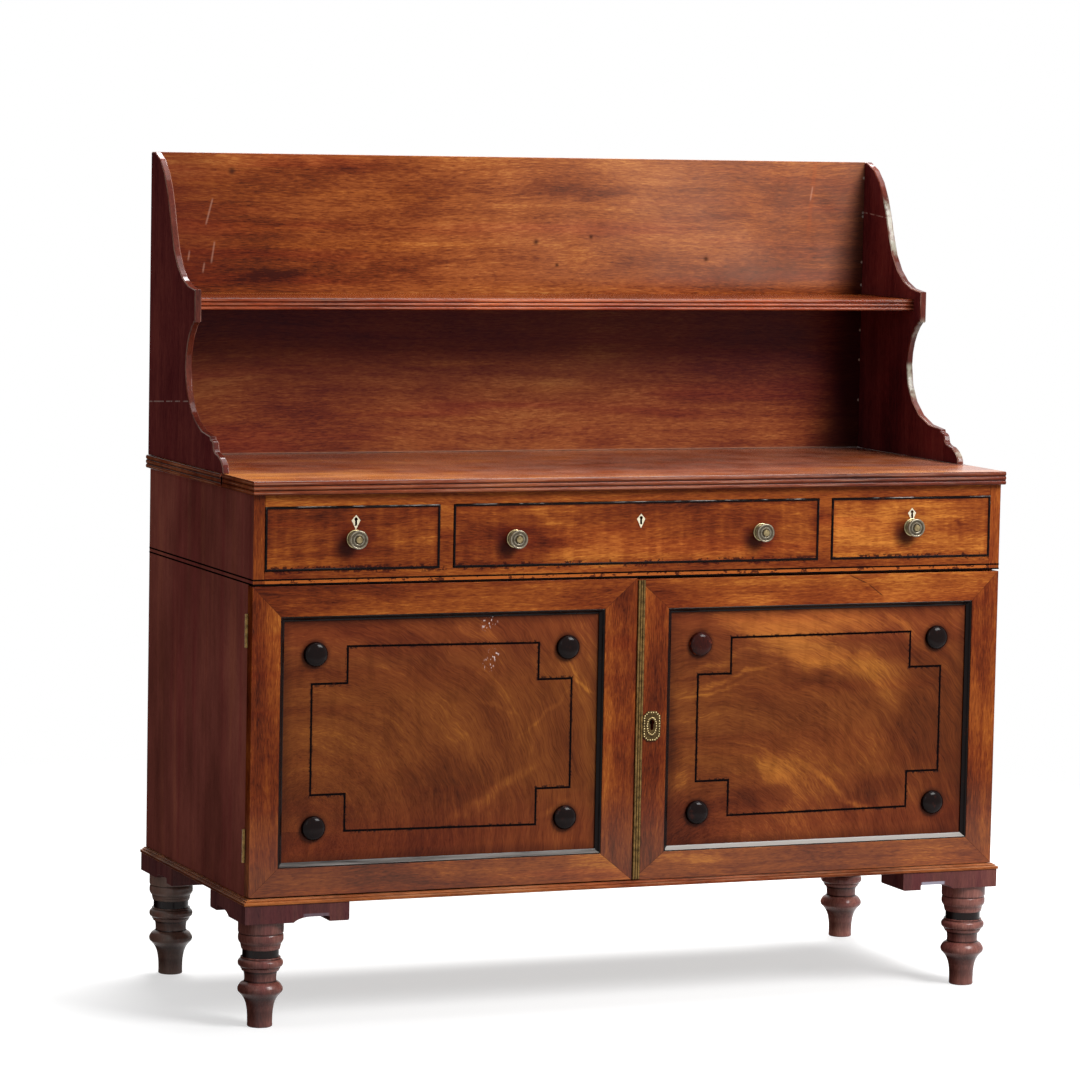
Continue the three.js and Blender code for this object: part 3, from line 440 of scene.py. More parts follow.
def reed_edges(piece: Piece, name: str, seed: float, lift: float = 1.0) -> None:
    """Gives the reeded edges of a board their own finish, with painted shade between the reeds and
    painted highlights on their crests.

    Args:
        piece: The board, already finished.
        name: The edge finish's name.
        seed: The edge finish's seed.
        lift: How much lighter than usual it is.
    """
    levels = [vertex.co.z for vertex in piece.data.vertices]
    low, high = min(levels), max(levels)

    def lines(graph: Graph, colour: Socket) -> Socket:
        """Paints shade in the grooves and highlights on the crests of the reeds.

        Args:
            graph: The material's graph.
            colour: The colour so far.

        Returns:
            The colour with the grooves and crests on it.
        """
        share = graph.times(graph.minus(graph.z, low), REEDS / (high - low))
        side = graph.calc("PINGPONG", share, 0.5)
        # Painted shade in the grooves between the reeds.
        groove = graph.span(side, 0.2, 0.04)
        colour = graph.stain(colour, groove, 0.85, (36, 12, 9))
        # A painted highlight along the crests, broken up along the reeds.
        worn = graph.span(graph.cloud((11, 11, 300), 4, 0.6), 0.4, 0.62)
        crest_highlight = graph.times(graph.span(side, 0.36, 0.48), worn)
        return graph.stain(colour, crest_highlight, 0.42, (214, 164, 136))

    tones = tuple(tuple(channel * lift for channel in tone) for tone in REED_TONES)
    edge = Mahogany(name, Axis.X, tones, seed, streaks=0.6, rough=0.13, grime_and_shade=0.6).make(lines)
    face_finish(piece, edge, lambda face: abs(face.normal.z) < 0.97)


FRAME_NODES: dict[str, Piece] = {}


# Finishes


class Graph:
    """A material's node tree, built one node at a time."""

    def __init__(self, name: str) -> None:
        """Starts an empty material.

        Args:
            name: The material's name.
        """
        self.material = bpy.data.materials.new(name)
        self.material.use_nodes = True
        self.tree = self.material.node_tree
        self.tree.nodes.clear()
        self.place = self.add("ShaderNodeTexCoord").outputs["Object"]
        split = self.add("ShaderNodeSeparateXYZ", {}, {0: self.place})
        self.x, self.y, self.z = split.outputs
        self.hollow = self.add("ShaderNodeAttribute", {"attribute_name": "hollow"}).outputs[2]

    def facing(self) -> tuple[Socket, Socket]:
        """Measures how the surface faces, on the piece itself.

        Returns:
            How far it faces sideways, and how far up.
        """
        normal = self.add("ShaderNodeTexCoord").outputs["Normal"]
        parts = self.add("ShaderNodeSeparateXYZ", {}, {0: normal}).outputs
        return self.calc("ABSOLUTE", parts[0]), parts[2]

    def add(
        self, kind: str, settings: dict[str, object] | None = None, inputs: dict | None = None
    ) -> bpy.types.Node:
        """Adds a node.

        Args:
            kind: The node's type.
            settings: Its properties.
            inputs: Its inputs by name or number, each a socket or a value.

        Returns:
            The node.
        """
        node = self.tree.nodes.new(kind)
        for key, value in (settings or {}).items():
            setattr(node, key, value)
        for key, value in (inputs or {}).items():
            self.feed(node.inputs[key], value)
        return node

    def feed(self, socket: Socket, value: object) -> None:
        """Links a socket to another, or sets its value.

        Args:
            socket: The input.
            value: The output socket to link, or the value.
        """
        if isinstance(value, bpy.types.NodeSocket):
            self.tree.links.new(value, socket)
        else:
            socket.default_value = value

    def calc(self, operation: str, *values: Socket | float, clamp: bool = False) -> Socket:
        """Adds one arithmetic node.

        Args:
            operation: The operation's name.
            *values: Its inputs.
            clamp: Whether the result stays between 0 and 1.

        Returns:
            The result.
        """
        settings = {"operation": operation, "use_clamp": clamp}
        return self.add("ShaderNodeMath", settings, dict(enumerate(values))).outputs[0]

    def times(self, value: Socket | float, factor: Socket | float) -> Socket:
        """Multiplies two values."""
        return self.calc("MULTIPLY", value, factor)

    def minus(self, value: Socket | float, other: Socket | float) -> Socket:
        """Subtracts the second value from the first."""
        return self.calc("SUBTRACT", value, other)

    def gap(self, value: Socket | float, other: Socket | float) -> Socket:
        """Gives how far apart two values are."""
        return self.calc("ABSOLUTE", self.minus(value, other))

    def linear(self, value: Socket, factor: Socket | float, start: Socket | float) -> Socket:
        """Multiplies a value by a factor and adds it to a start."""
        return self.calc("MULTIPLY_ADD", value, factor, start)

    def vector(self, operation: str, *values: object) -> bpy.types.Node:
        """Adds one vector node with its operation and inputs."""
        settings = {"operation": operation}
        return self.add("ShaderNodeVectorMath", settings, dict(enumerate(values)))

    def mapped(self, scale: Point, shift: Point = (0, 0, 0), turn: Point = (0, 0, 0),
               vector: Socket | None = None) -> Socket:
        """Scales, shifts and turns the place on the piece.

        Args:
            scale: The scale along each axis.
            shift: The shift along each axis.
            turn: The turn about each axis, in degrees.
            vector: The vector to map, or none for the place itself.

        Returns:
            The mapped vector.
        """
        return self.add(
            "ShaderNodeMapping",
            {},
            {
                "Vector": vector or self.place,
                "Location": shift,
                "Rotation": tuple(math.radians(a) for a in turn),
                "Scale": scale,
            },
        ).outputs[0]

    def noise(self, vector: Socket, detail: float = 2.0, rough: float = 0.5,
              twist: float = 0.0) -> bpy.types.Node:
        """Adds a noise texture.

        Args:
            vector: Where it is read.
            detail: Its detail.
            rough: Its roughness.
            twist: Its distortion.

        Returns:
            The node.
        """
        inputs = {"Vector": vector, "Scale": 1.0, "Detail": detail, "Roughness": rough,
                  "Distortion": twist}
        return self.add("ShaderNodeTexNoise", {}, inputs)

    def cloud(self, scale: Point | float, detail: float = 2.0, rough: float = 0.5) -> Socket:
        """Reads a noise at the place on the piece.

        Args:
            scale: Its scale, alike along all axes or one for each.
            detail: Its detail.
            rough: Its roughness.

        Returns:
            The noise, 0.5 on average.
        """
        scale = scale if isinstance(scale, tuple) else (scale,) * 3
        return self.noise(self.mapped(scale), detail, rough).outputs[0]

    def span(self, value: Socket | float, low: float, high: float) -> Socket:
        """Turns a value into a soft step from 0 at low to 1 at high.

        Args:
            value: The value.
            low: Where the step starts.
            high: Where the step ends; it may be less than low.

        Returns:
            The step.
        """
        flip = low > high
        inputs = {0: value, 1: min(low, high), 2: max(low, high)}
        inputs[3], inputs[4] = (1.0, 0.0) if flip else (0.0, 1.0)
        return self.add(
            "ShaderNodeMapRange", {"interpolation_type": "SMOOTHSTEP"}, inputs
        ).outputs[0]

    def ramp(self, value: Socket, stops: Sequence[tuple[float, Colour]]) -> Socket:
        """Turns a value into a colour.

        Args:
            value: The value, from 0 to 1.
            stops: Pairs of position and linear colour.

        Returns:
            The colour.
        """
        node = self.add("ShaderNodeValToRGB", {}, {0: value})
        bar = node.color_ramp
        bar.elements[0].position, bar.elements[-1].position = stops[0][0], stops[-1][0]
        bar.elements[0].color = (*stops[0][1], 1)
        bar.elements[-1].color = (*stops[-1][1], 1)
        for position, colour in stops[1:-1]:
            bar.elements.new(position).color = (*colour, 1)
        return node.outputs[0]

    def blend(self, factor: Socket | float, under: Socket | Colour, over: Socket | Colour,
              mode: str = "MIX") -> Socket:
        """Lays one colour over another.

        Args:
            factor: How much of the upper colour shows.
            under: The lower colour.
            over: The upper colour.
            mode: The blend mode.

        Returns:
            The blended colour.
        """
        under, over = (
            (*c, 1) if isinstance(c, tuple) and len(c) == 3 else c for c in (under, over)
        )
        node = self.add("ShaderNodeMix", {"data_type": "RGBA", "blend_type": mode})
        for number, value in ((0, factor), (6, under), (7, over)):
            self.feed(node.inputs[number], value)
        return node.outputs[2]

    def stain(self, under: Socket, mask: Socket, strong: Socket | float, tone: Colour) -> Socket:
        """Lays a tone over a colour through a mask.

        Args:
            under: The colour so far.
            mask: Where the tone lies, 0 to 1.
            strong: How strongly it shows.
            tone: The tone as a picture shows it.

        Returns:
            The stained colour.
        """
        return self.blend(self.times(mask, strong), under, srgb(*tone))

    def tint(self, under: Socket, mask: Socket, strong: float, glass: Colour) -> Socket:
        """Lays a linear colour over another through a mask, as coloured glass."""
        return self.blend(self.times(mask, strong), under, glass, "MULTIPLY")

    def apart(self, *centre: tuple[Socket, float]) -> Socket:
        """Measures the distance from a point or a line.

        Args:
            *centre: Pairs of a coordinate socket and its value at the centre.

        Returns:
            The distance.
        """
        squares = [self.calc("POWER", self.minus(s, v), 2.0) for s, v in centre]
        total = squares[0]
        for square in squares[1:]:
            total = self.calc("ADD", total, square)
        return self.calc("SQRT", total)

    def bump(self, height: Socket, strength: float, distance: float,
             below: Socket | None = None) -> Socket:
        """Turns a height into a bump.

        Args:
            height: The height.
            strength: How strongly it shows.
            distance: The height's scale in metres.
            below: A bump that it is laid over.

        Returns:
            The normal.
        """
        inputs = {"Height": height, "Strength": strength, "Distance": distance}
        if below:
            inputs["Normal"] = below
        return self.add("ShaderNodeBump", {}, inputs).outputs[0]

    def finish(self, **sockets: object) -> Finish:
        """Adds the surface shader and the output.

        Args:
            **sockets: The shader's inputs, spelt with underscores.

        Returns:
            The finished material.
        """
        shader = self.add("ShaderNodeBsdfPrincipled")
        for key, value in sockets.items():
            name = key.replace("_", " ").title().replace("Ior", "IOR")
            if isinstance(value, tuple) and len(value) == 3:
                value = (*value, 1)
            self.feed(shader.inputs[name], value)
        self.add("ShaderNodeOutputMaterial", {}, {0: shader.outputs[0]})
        return self.material


def srgb(red: float, green: float, blue: float) -> Colour:
    """Turns a colour as a picture shows it, 0 to 255, into a linear one.

    Args:
        red: The red part.
        green: The green part.
        blue: The blue part.

    Returns:
        The linear colour.
    """
    parts = (c / 255 for c in (red, green, blue))
    return tuple(c / 12.92 if c <= 0.04045 else ((c + 0.055) / 1.055) ** 2.4 for c in parts)


DARK_FLECKS, PALE_FLECKS, RED_STREAKS, GOLD_STREAKS = 9, 8, 11, 12


class Figure(Enum):
    """How the wood of a board was cut."""

    PLAIN = "plain"
    FLAME_LEFT = "flame left"
    FLAME_RIGHT = "flame right"


@dataclass(frozen=True)
class Patch:
    """A soft lighter or darker place laid over a board's tone, in millimetres and degrees: mostly
    the veneer's figure, some of them painted light and shade.

    Args:
        x: Its place sideways from the middle of the panel.
        z: Its place up from the middle of the panel.
        wide: Half of its width.
        high: Half of its height.
        turn: How far it is turned, anticlockwise.
        tone: How much lighter, or darker if negative, it is.
    """

    x: float
    z: float
    wide: float
    high: float
    turn: float
    tone: float

    def lay(self, graph: Graph, place: Socket, centre: Point, tone: Socket) -> Socket:
        """Adds the patch to the tone.

        Args:
            graph: The material's graph.
            place: The place on the panel, already made to wander.
            centre: The middle of the panel.
            tone: The tone so far.

        Returns:
            The new tone.
        """
        node = graph.add(
            "ShaderNodeMapping", {"vector_type": "TEXTURE"},
            {
                "Vector": place,
                "Location": (centre[0] + self.x * MM, centre[1], centre[2] + self.z * MM),
                "Rotation": (0.0, -math.radians(self.turn), 0.0),
                "Scale": (self.wide * MM, 1.0, self.high * MM),
            },
        )
        flat = graph.vector("MULTIPLY", node.outputs[0], (1, 0, 1)).outputs[0]
        reach = graph.vector("LENGTH", flat)
        return graph.linear(graph.span(reach.outputs["Value"], 1.15, 0.2), self.tone, tone)


@dataclass(frozen=True)
class Rim:
    """A rectangle on a piece's front, darker towards its edges.

    Args:
        low: Its lowest corner.
        high: Its highest corner.
        reach: How far in the dark edge comes.
        depth: How dark it is, 0 to 1.
    """

    low: Vector
    high: Vector
    reach: float = 10 * MM
    depth: float = 0.12

    def shade(self, graph: Graph) -> Socket:
        """Gives the darkness of the edges, made uneven.

        Args:
            graph: The material's graph.

        Returns:
            The darkness, 0 to 1.
        """
        sides = [
            graph.minus(graph.x, self.low.x),
            graph.minus(self.high.x, graph.x),
            graph.minus(graph.z, self.low.z),
            graph.minus(self.high.z, graph.z),
        ]
        gap = sides[0]
        for side in sides[1:]:
            gap = graph.calc("SMOOTH_MIN", gap, side, self.reach * 0.4)
        uneven = graph.cloud(22, 3)
        wander = graph.minus(uneven, 0.5)
        gap = graph.linear(wander, self.reach * 1.6, gap)
        return graph.times(graph.span(gap, self.reach, 0.0), self.depth)


@dataclass(frozen=True)
class Mahogany:
    """French-polished mahogany, its grain running along one axis.

    Args:
        name: The material's name.
        run: The grain's direction.
        tones: Four tones from dark to light, as a picture shows them.
        seed: A number that sets which part of the log it shows.
        bands: The strength of broad bands.
        streaks: The strength of fine streaks.
        clouds: The strength of slow changes of tone.
        flecks: The strength of the short dark and light flecks.
        bars: The strength of faint bars across the grain.
        polish: The reflection's strength.
        rough: The polish's roughness.
        figure: How the board was cut.
        patches: Listed lights and darks laid over the figure, some of them painted light and shade.
        red: How strongly redder streaks run through it.
        painted_sheen: How strongly a pale painted sheen lies on it.
        painted_sheen_tone: The sheen's colour as a picture shows it.
        grime_and_shade: How dark its grooves are, with old polish and painted shade.
    """

    name: str
    run: Axis = Axis.X
    tones: tuple[Colour, ...] = ((60, 20, 9), (110, 46, 19), (146, 74, 29), (204, 126, 52))
    seed: float = 0.0
    bands: float = 1.0
    streaks: float = 1.0
    clouds: float = 1.0
    flecks: float = 0.6
    bars: float = 0.0
    polish: float = 0.08
    rough: float = 0.3
    figure: Figure = Figure.PLAIN
    patches: tuple[Patch, ...] = ()
    red: float = 0.55
    painted_sheen: float = 0.0
    painted_sheen_tone: Colour = (142, 129, 116)
    grime_and_shade: float = 0.75

    def along(self, lengthwise: float, across: float) -> Point:
        """Gives the scale along each axis, one for the grain's and one for the other two."""
        return tuple(lengthwise if n == self.run.value else across for n in range(3))

    def shift(self, step: int) -> Point:
        """Gives a place in the log, another one for each layer of the figure."""
        return (self.seed * 1.7 + step * 5.3, self.seed * 2.3 - step * 3.9, self.seed + step * 7.1)

    def layer(self, graph: Graph, place: Socket, step: int, lengthwise: float, across: float,
              detail: float) -> Socket:
        """Draws one layer of the figure, centred on 0.

        Args:
            graph: The material's graph.
            place: The place that it is read at.
            step: Which layer it is.
            lengthwise: Its scale along the grain.
            across: Its scale across the grain.
            detail: Its detail.

        Returns:
            The layer.
        """
        vector = graph.mapped(self.along(lengthwise, across), self.shift(step), vector=place)
        return graph.minus(graph.noise(vector, detail, 0.55).outputs[0], 0.5)

    def grain(self, graph: Graph, place: Socket) -> tuple[Socket, Socket]:
        """Draws the figure as a tone from 0, dark, to 1, light.

        Args:
            graph: The material's graph.
            place: The place that it is read at.

        Returns:
            The tone and the pores.
        """
        wander = graph.noise(graph.mapped((2.4, 2.4, 2.4), self.shift(0), vector=place), 2)
        offset = graph.vector(
            "MULTIPLY_ADD", wander.outputs["Color"], (0.045,) * 3, place
        ).outputs[0]
        tone = 0.5
        for number, (lengthwise, across, detail, weight) in enumerate((
            (0.8, 13, 3, 0.6 * self.bands),
            (2.4, 75, 3, 0.46 * self.bands),
            (9, 240, 4, 0.34 * self.streaks),
            (75, 600, 2, 0.62 * self.streaks),
            (2.3, 4.6, 3, 1.35 * self.clouds),
            (60, 9, 2, 0.6 * self.bars),
            (11, 24, 3, 0.55 * self.clouds),
        )):
            if weight:
                part = self.layer(graph, offset, number + 1, lengthwise, across, detail)
                tone = graph.linear(part, weight, tone)
        dark = graph.span(self.layer(graph, offset, DARK_FLECKS, 110, 700, 1), 0.08, 0.2)
        pale = graph.span(self.layer(graph, offset, PALE_FLECKS, 140, 800, 1), 0.1, 0.2)
        tone = graph.linear(dark, -0.2 * self.flecks, tone)
        tone = graph.linear(pale, 0.1 * self.flecks, tone)
        return graph.calc("MAXIMUM", tone, 0.0, clamp=True), dark

    def flame(self, graph: Graph, centre: Point) -> Socket:
        """Bends the place round a crotch, so that the grain fans out as a flame.

        Args:
            graph: The material's graph.
            centre: The middle of the panel.

        Returns:
            The bent place, with the fan's own direction as its X.
        """
        left = self.figure is Figure.FLAME_LEFT
        swirl = graph.noise(graph.mapped((4.2, 4.2, 4.2), (self.seed, 0, 0)), 4, 0.58)
        offset = graph.vector(
            "MULTIPLY_ADD", swirl.outputs["Color"], (0.075, 0.0, 0.075), graph.place
        ).outputs[0]
        split = graph.add("ShaderNodeSeparateXYZ", {}, {0: offset}).outputs
        u = graph.minus(split[0], centre[0] - (0.16 if left else 0.12))
        v = graph.minus(split[2], centre[2] - (0.1 if left else 0.19))
        turn = graph.calc("ARCTAN2", v, u)
        reach = graph.apart((u, 0.0), (v, 0.0))
        parts = {0: graph.times(turn, 0.2), 2: reach}
        return graph.add("ShaderNodeCombineXYZ", {}, parts).outputs[0]

    def patched(self, graph: Graph, tone: Socket, centre: Point) -> Socket:
        """Lays the listed lights and darks over the tone.

        Args:
            graph: The material's graph.
            tone: The tone so far.
            centre: The middle of the panel.

        Returns:
            The new tone.
        """
        swirl = graph.noise(graph.mapped((13, 13, 13)), 5, 0.5)
        centred = graph.vector("SUBTRACT", swirl.outputs["Color"], (0.5,) * 3).outputs[0]
        place = graph.vector("MULTIPLY_ADD", centred, (0.06,) * 3, graph.place).outputs[0]
        for patch in self.patches:
            tone = patch.lay(graph, place, centre, tone)
        return tone

    def make(self, extra: Callable[[Graph, Socket], Socket] | None = None,
             place: Callable[[Graph], Socket] | None = None, rim: Rim | None = None,
             centre: Point = (0, 0, 0)) -> Finish:
        """Builds the material.

        Args:
            extra: Lays soil, marks, nicks or lines, and painted light and shade, over the wood's
                colour.
            place: Gives the place that the grain is read at, or none for the piece's own.
            rim: The darkened edges.
            centre: The middle of a panel, for its patches.

        Returns:
            The material.
        """
        graph = Graph(self.name)
        tone, pores = self.grain(graph, place(graph) if place else graph.place)
        if self.patches:
            tone = self.patched(graph, tone, centre)
        if rim:
            tone = graph.linear(rim.shade(graph), -1.0, tone)
        stops = [srgb(*c) for c in self.tones]
        colour = graph.ramp(tone, list(zip((0.1, 0.38, 0.62, 0.95), stops)))
        red = self.layer(graph, graph.place, RED_STREAKS, 1.7, 26, 4)
        colour = graph.tint(colour, graph.span(red, -0.02, 0.16), self.red, (0.8, 0.5, 0.66))
        gold = graph.span(self.layer(graph, graph.place, GOLD_STREAKS, 2.2, 34, 4), 0.04, 0.2)
        colour = graph.tint(colour, gold, self.red * 0.7, (1.3, 1.42, 1.1))
        # A pale painted sheen, in clouds, over the wood.
        if self.painted_sheen:
            film = graph.span(graph.cloud(17, 4, 0.6), 0.2, 0.8)
            colour = graph.stain(colour, film, self.painted_sheen * 2, self.painted_sheen_tone)
        # Grooves and hollows darkened: old polish gathered there, and painted shade.
        grime_and_shade = graph.calc("MULTIPLY", graph.hollow, self.grime_and_shade, clamp=True)
        colour = graph.blend(grime_and_shade, colour, srgb(30, 10, 8))
        if extra:
            colour = extra(graph, colour)
        normal = graph.bump(graph.cloud(9, 1), 0.25, 0.0006)
        normal = graph.bump(pores, -0.1, 0.0002, normal)
        rough = graph.linear(pores, 0.1, self.rough)
        polish = 0.0
        if self.polish:
            polish = graph.times(graph.span(graph.facing()[0], 0.85, 0.4), self.polish)
        return graph.finish(
            base_color=colour, roughness=rough, specular_ior_level=polish, normal=normal,
        )


@dataclass(frozen=True)
class Ebonised:
    """Blackened and polished wood, worn at places.

    Args:
        name: The material's name.
        tone: Its colour as a picture shows it.
        worn: The colour where the black has worn off.
        wear: How much of it is worn.
        polish: The reflection's strength.
        rough: The polish's roughness.
        dust_and_sheen: How grey the faces that look up are, with old dusty wax and scuffs and a
            painted sheen.
        spread: Where in its noise the grey starts and is full; more is sparser.
        drift: How quickly the grey changes along a piece.
        above: The level above which the grey lies.
    """

    name: str = "ebonised"
    tone: Colour = (27, 13, 12)
    worn: Colour = (78, 34, 20)
    wear: float = 0.25
    polish: float = 0.15
    rough: float = 0.2
    dust_and_sheen: float = 0.0
    spread: tuple[float, float] = (0.3, 0.6)
    drift: float = 14.0
    above: float = 0.0

    def make(self) -> Finish:
        """Builds the material.

        Returns:
            The finished material.
        """
        graph = Graph(self.name)
        patches = graph.cloud(60, 3, 0.6)
        colour = graph.ramp(
            graph.cloud((300, 90, 90), 3),
            [(0.3, srgb(*(c * 0.7 for c in self.tone))), (0.7, srgb(*self.tone))],
        )
        colour = graph.stain(colour, graph.span(patches, 0.6, 0.72), self.wear, self.worn)
        sideways, upward = graph.facing()
        if self.dust_and_sheen:
            # Old dusty wax, scuffs and a painted sheen grey what faces up, in drifts along the
            # piece.
            long = graph.cloud((self.drift, 60, 60), 4, 0.6)
            film = graph.times(graph.span(upward, 0.15, 0.6), self.dust_and_sheen)
            film = graph.times(film, graph.span(long, *self.spread))
            high = graph.span(graph.z, self.above, self.above + 0.002)
            colour = graph.stain(colour, film, high, (190, 184, 178))
        return graph.finish(
            base_color=colour,
            roughness=graph.linear(patches, 0.12, self.rough - 0.06),
            specular_ior_level=graph.times(graph.span(sideways, 0.97, 0.75), self.polish),
            normal=graph.bump(patches, 0.1, 0.0003),
        )


@dataclass(frozen=True)
class AgedBrass:
    """Old brass: dull and dark in its hollows, rubbed bright on its edges.

    Args:
        name: The material's name.
        bright: The rubbed metal's colour as a picture shows it.
        dull: The tarnished metal's colour.
        rough: The roughness.
        screws: The screw heads' places, each how far from the middle and how high.
        head: A screw head's radius.
    """

    name: str
    bright: Colour = (136, 106, 60)
    dull: Colour = (60, 44, 24)
    rough: float = 0.42
    screws: tuple[tuple[float, float], ...] = ()
    head: float = 2.6 * MM

    def heads(self, graph: Graph, colour: Socket) -> Socket:
        """Draws the flush slotted screw heads of the hinge leaves on both sides.

        Args:
            graph: The material's graph.
            colour: The colour so far.

        Returns:
            The colour with the heads' rims and slots on it.
        """
        across = graph.calc("ABSOLUTE", graph.x)
        for x, z in self.screws:
            reach = graph.apart((across, x), (graph.z, z))
            rim = graph.span(graph.gap(reach, self.head), 0.0005, 0.0002)
            tilt = graph.linear(graph.minus(across, x), math.sin(z * 400), graph.minus(graph.z, z))
            slot = graph.times(
                graph.span(graph.calc("ABSOLUTE", tilt), 0.0006, 0.0003),
                graph.span(reach, 0.0025, 0.0021),
            )
            colour = graph.stain(colour, graph.calc("MAXIMUM", rim, slot), 0.9, (20, 14, 8))
        return colour

    def make(self) -> Finish:
        """Builds the material.

        Returns:
            The finished material.
        """
        graph = Graph(self.name)
        blotch = graph.cloud(140, 4, 0.6)
        mixed = graph.linear(graph.cloud(900), 0.35, graph.times(blotch, 0.8))
        colour = graph.ramp(mixed, [(0.36, srgb(*self.dull)), (0.72, srgb(*self.bright))])
        colour = graph.stain(colour, graph.hollow, 0.8, (24, 18, 10))
        if self.screws:
            colour = self.heads(graph, colour)
        return graph.finish(
            base_color=colour, metallic=0.9,
            roughness=graph.linear(blotch, -0.2, self.rough + 0.1),
            normal=graph.bump(mixed, 0.15, 0.0002),
        )


@dataclass(frozen=True)
class KnobBrass:
    """The knobs' brass: a yellow plate and button, and a grey rim and dish.

    Args:
        name: The material's name.
        face: The drawer front's face, from which the reach is measured.
        span: The reach that the tones are spread over.
        plate: The plate's colour as a picture shows it.
        rim: The face's colour.
        button: The middle button's colour.
    """

    name: str
    face: float
    span: float = 20 * MM
    plate: Colour = (168, 152, 112)
    rim: Colour = (132, 124, 108)
    button: Colour = (150, 134, 98)

    def make(self) -> Finish:
        """Builds the material.

        Returns:
            The finished material.
        """
        graph = Graph(self.name)
        blotch = graph.cloud(210, 4, 0.6)
        past = graph.times(graph.minus(self.face, graph.y), 1 / self.span)
        tones = [
            (0.0, self.plate), (0.1, self.plate), (0.16, (96, 82, 56)), (0.6, (76, 64, 46)),
            (0.68, self.rim), (0.84, self.rim), (0.86, self.button), (1.0, self.button),
        ]
        colour = graph.ramp(past, [(place, srgb(*tone)) for place, tone in tones])
        colour = graph.stain(colour, graph.span(blotch, 0.42, 0.7), 0.6, (72, 56, 36))
        colour = graph.stain(colour, graph.hollow, 0.7, (46, 36, 24))
        return graph.finish(
            base_color=colour, metallic=0.9,
            roughness=graph.linear(blotch, -0.2, 0.44),
            normal=graph.bump(blotch, 0.12, 0.0002),
        )


@dataclass(frozen=True)
class Bone:
    """Polished bone, faintly streaked."""

    name: str = "bone"
    tone: Colour = (244, 232, 200)

    def make(self) -> Finish:
        """Builds the material.

        Returns:
            The finished material.
        """
        graph = Graph(self.name)
        streak = graph.cloud((900, 900, 160), 3)
        light = srgb(*self.tone)
        colour = graph.ramp(streak, [(0.3, tuple(c * 0.72 for c in light)), (0.6, light)])
        return graph.finish(
            base_color=colour, roughness=0.38, coat_weight=0.3, coat_roughness=0.2,
            normal=graph.bump(streak, 0.08, 0.0001),
        )


@dataclass(frozen=True)
class InnerWood:
    """Unpolished wood inside the carcass and the drawers, dusty and darkened with age.

    Args:
        name: The material's name.
        run: The grain's direction.
        tone: Its colour as a picture shows it.
        seed: A number that sets which part of the log it shows.
        board: The width of its upright boards, or 0 for one board.
        nails: The levels of the nails in each board.
    """

    name: str
    run: Axis = Axis.X
    tone: Colour = (150, 112, 72)
    seed: float = 0.0
    board: float = 0.0
    nails: tuple[float, ...] = ()

    def boarded(self, graph: Graph, colour: Socket) -> Socket:
        """Draws the joints between upright boards, and their nails.

        Args:
            graph: The material's graph.
            colour: The colour so far.

        Returns:
            The colour with the joints and nails on it.
        """
        number = graph.calc("DIVIDE", graph.x, self.board)
        own = graph.add(
            "ShaderNodeTexWhiteNoise", {"noise_dimensions": "1D"},
            {"W": graph.calc("FLOOR", number)},
        ).outputs["Value"]
        colour = graph.tint(colour, own, 0.7, (0.72, 0.66, 0.6))
        share = graph.calc("PINGPONG", number, 0.5)
        colour = graph.stain(colour, graph.span(share, 0.012, 0.004), 0.85, (26, 18, 12))
        across = graph.times(graph.minus(share, 0.25), self.board)
        for level in self.nails:
            reach = graph.apart((across, 0.0), (graph.z, level))
            colour = graph.stain(colour, graph.span(reach, 0.0042, 0.002), 0.8, (38, 30, 26))
        return colour

    def make(self) -> Finish:
        """Builds the material.

        Returns:
            The finished material.
        """
        graph = Graph(self.name)
        shift = (self.seed * 1.3, self.seed * 2.1, self.seed * 0.7)
        scale = tuple(1.6 if n == self.run.value else 34.0 for n in range(3))
        rings = graph.noise(graph.mapped(scale, shift), 4, 0.55, 0.6).outputs[0]
        fibre = tuple(14.0 if n == self.run.value else 520.0 for n in range(3))
        fibres = graph.noise(graph.mapped(fibre, shift), 2).outputs[0]
        stain = graph.noise(graph.mapped((5, 5, 5), shift), 3).outputs[0]
        light = srgb(*self.tone)
        tone = graph.linear(fibres, 0.3, graph.times(rings, 0.7))
        colour = graph.ramp(
            tone, [(0.3, tuple(c * 0.5 for c in light)), (0.52, light),
                   (0.75, tuple(min(1.0, c * 1.25) for c in light))],
        )
        colour = graph.blend(
            graph.times(graph.span(stain, 0.5, 0.75), 0.25), colour,
            tuple(c * 0.45 for c in light),
        )
        if self.board:
            colour = self.boarded(graph, colour)
        return graph.finish(
            base_color=colour, roughness=0.72, specular_ior_level=0.25,
            normal=graph.bump(fibres, 0.2, 0.0004),
        )


@dataclass(frozen=True)
class DullSteel:
    """The dull steel of the lock bolts, faintly drawn."""

    name: str = "dull_steel"

    def make(self) -> Finish:
        """Builds the material.

        Returns:
            The finished material.
        """
        graph = Graph(self.name)
        drawn = graph.cloud((60, 700, 700), 3)
        colour = graph.ramp(drawn, [(0.3, srgb(84, 82, 80)), (0.7, srgb(142, 140, 136))])
        return graph.finish(
            base_color=colour, metallic=0.95,
            roughness=graph.linear(drawn, 0.2, 0.3),
        )


# The room


@dataclass(frozen=True)
class Lamp:
    """A soft rectangular lamp: its place, its size, its power in watts and what it faces."""

    name: str
    place: Point
    size: tuple[float, float]
    power: float
    aim: Point = (0.0, -0.1, 0.6)

    def hang(self) -> None:
        """Adds the lamp to the scene."""
        data = bpy.data.lights.new(self.name, "AREA")
        data.shape = "RECTANGLE"
        data.size, data.size_y = self.size
        data.energy = self.power
        lamp = bpy.data.objects.new(self.name, data)
        bpy.context.scene.collection.objects.link(lamp)
        lamp.location = self.place
        way = Vector(self.aim) - Vector(self.place)
        lamp.rotation_mode = "QUATERNION"
        lamp.rotation_quaternion = way.to_track_quat("-Z", "Y")


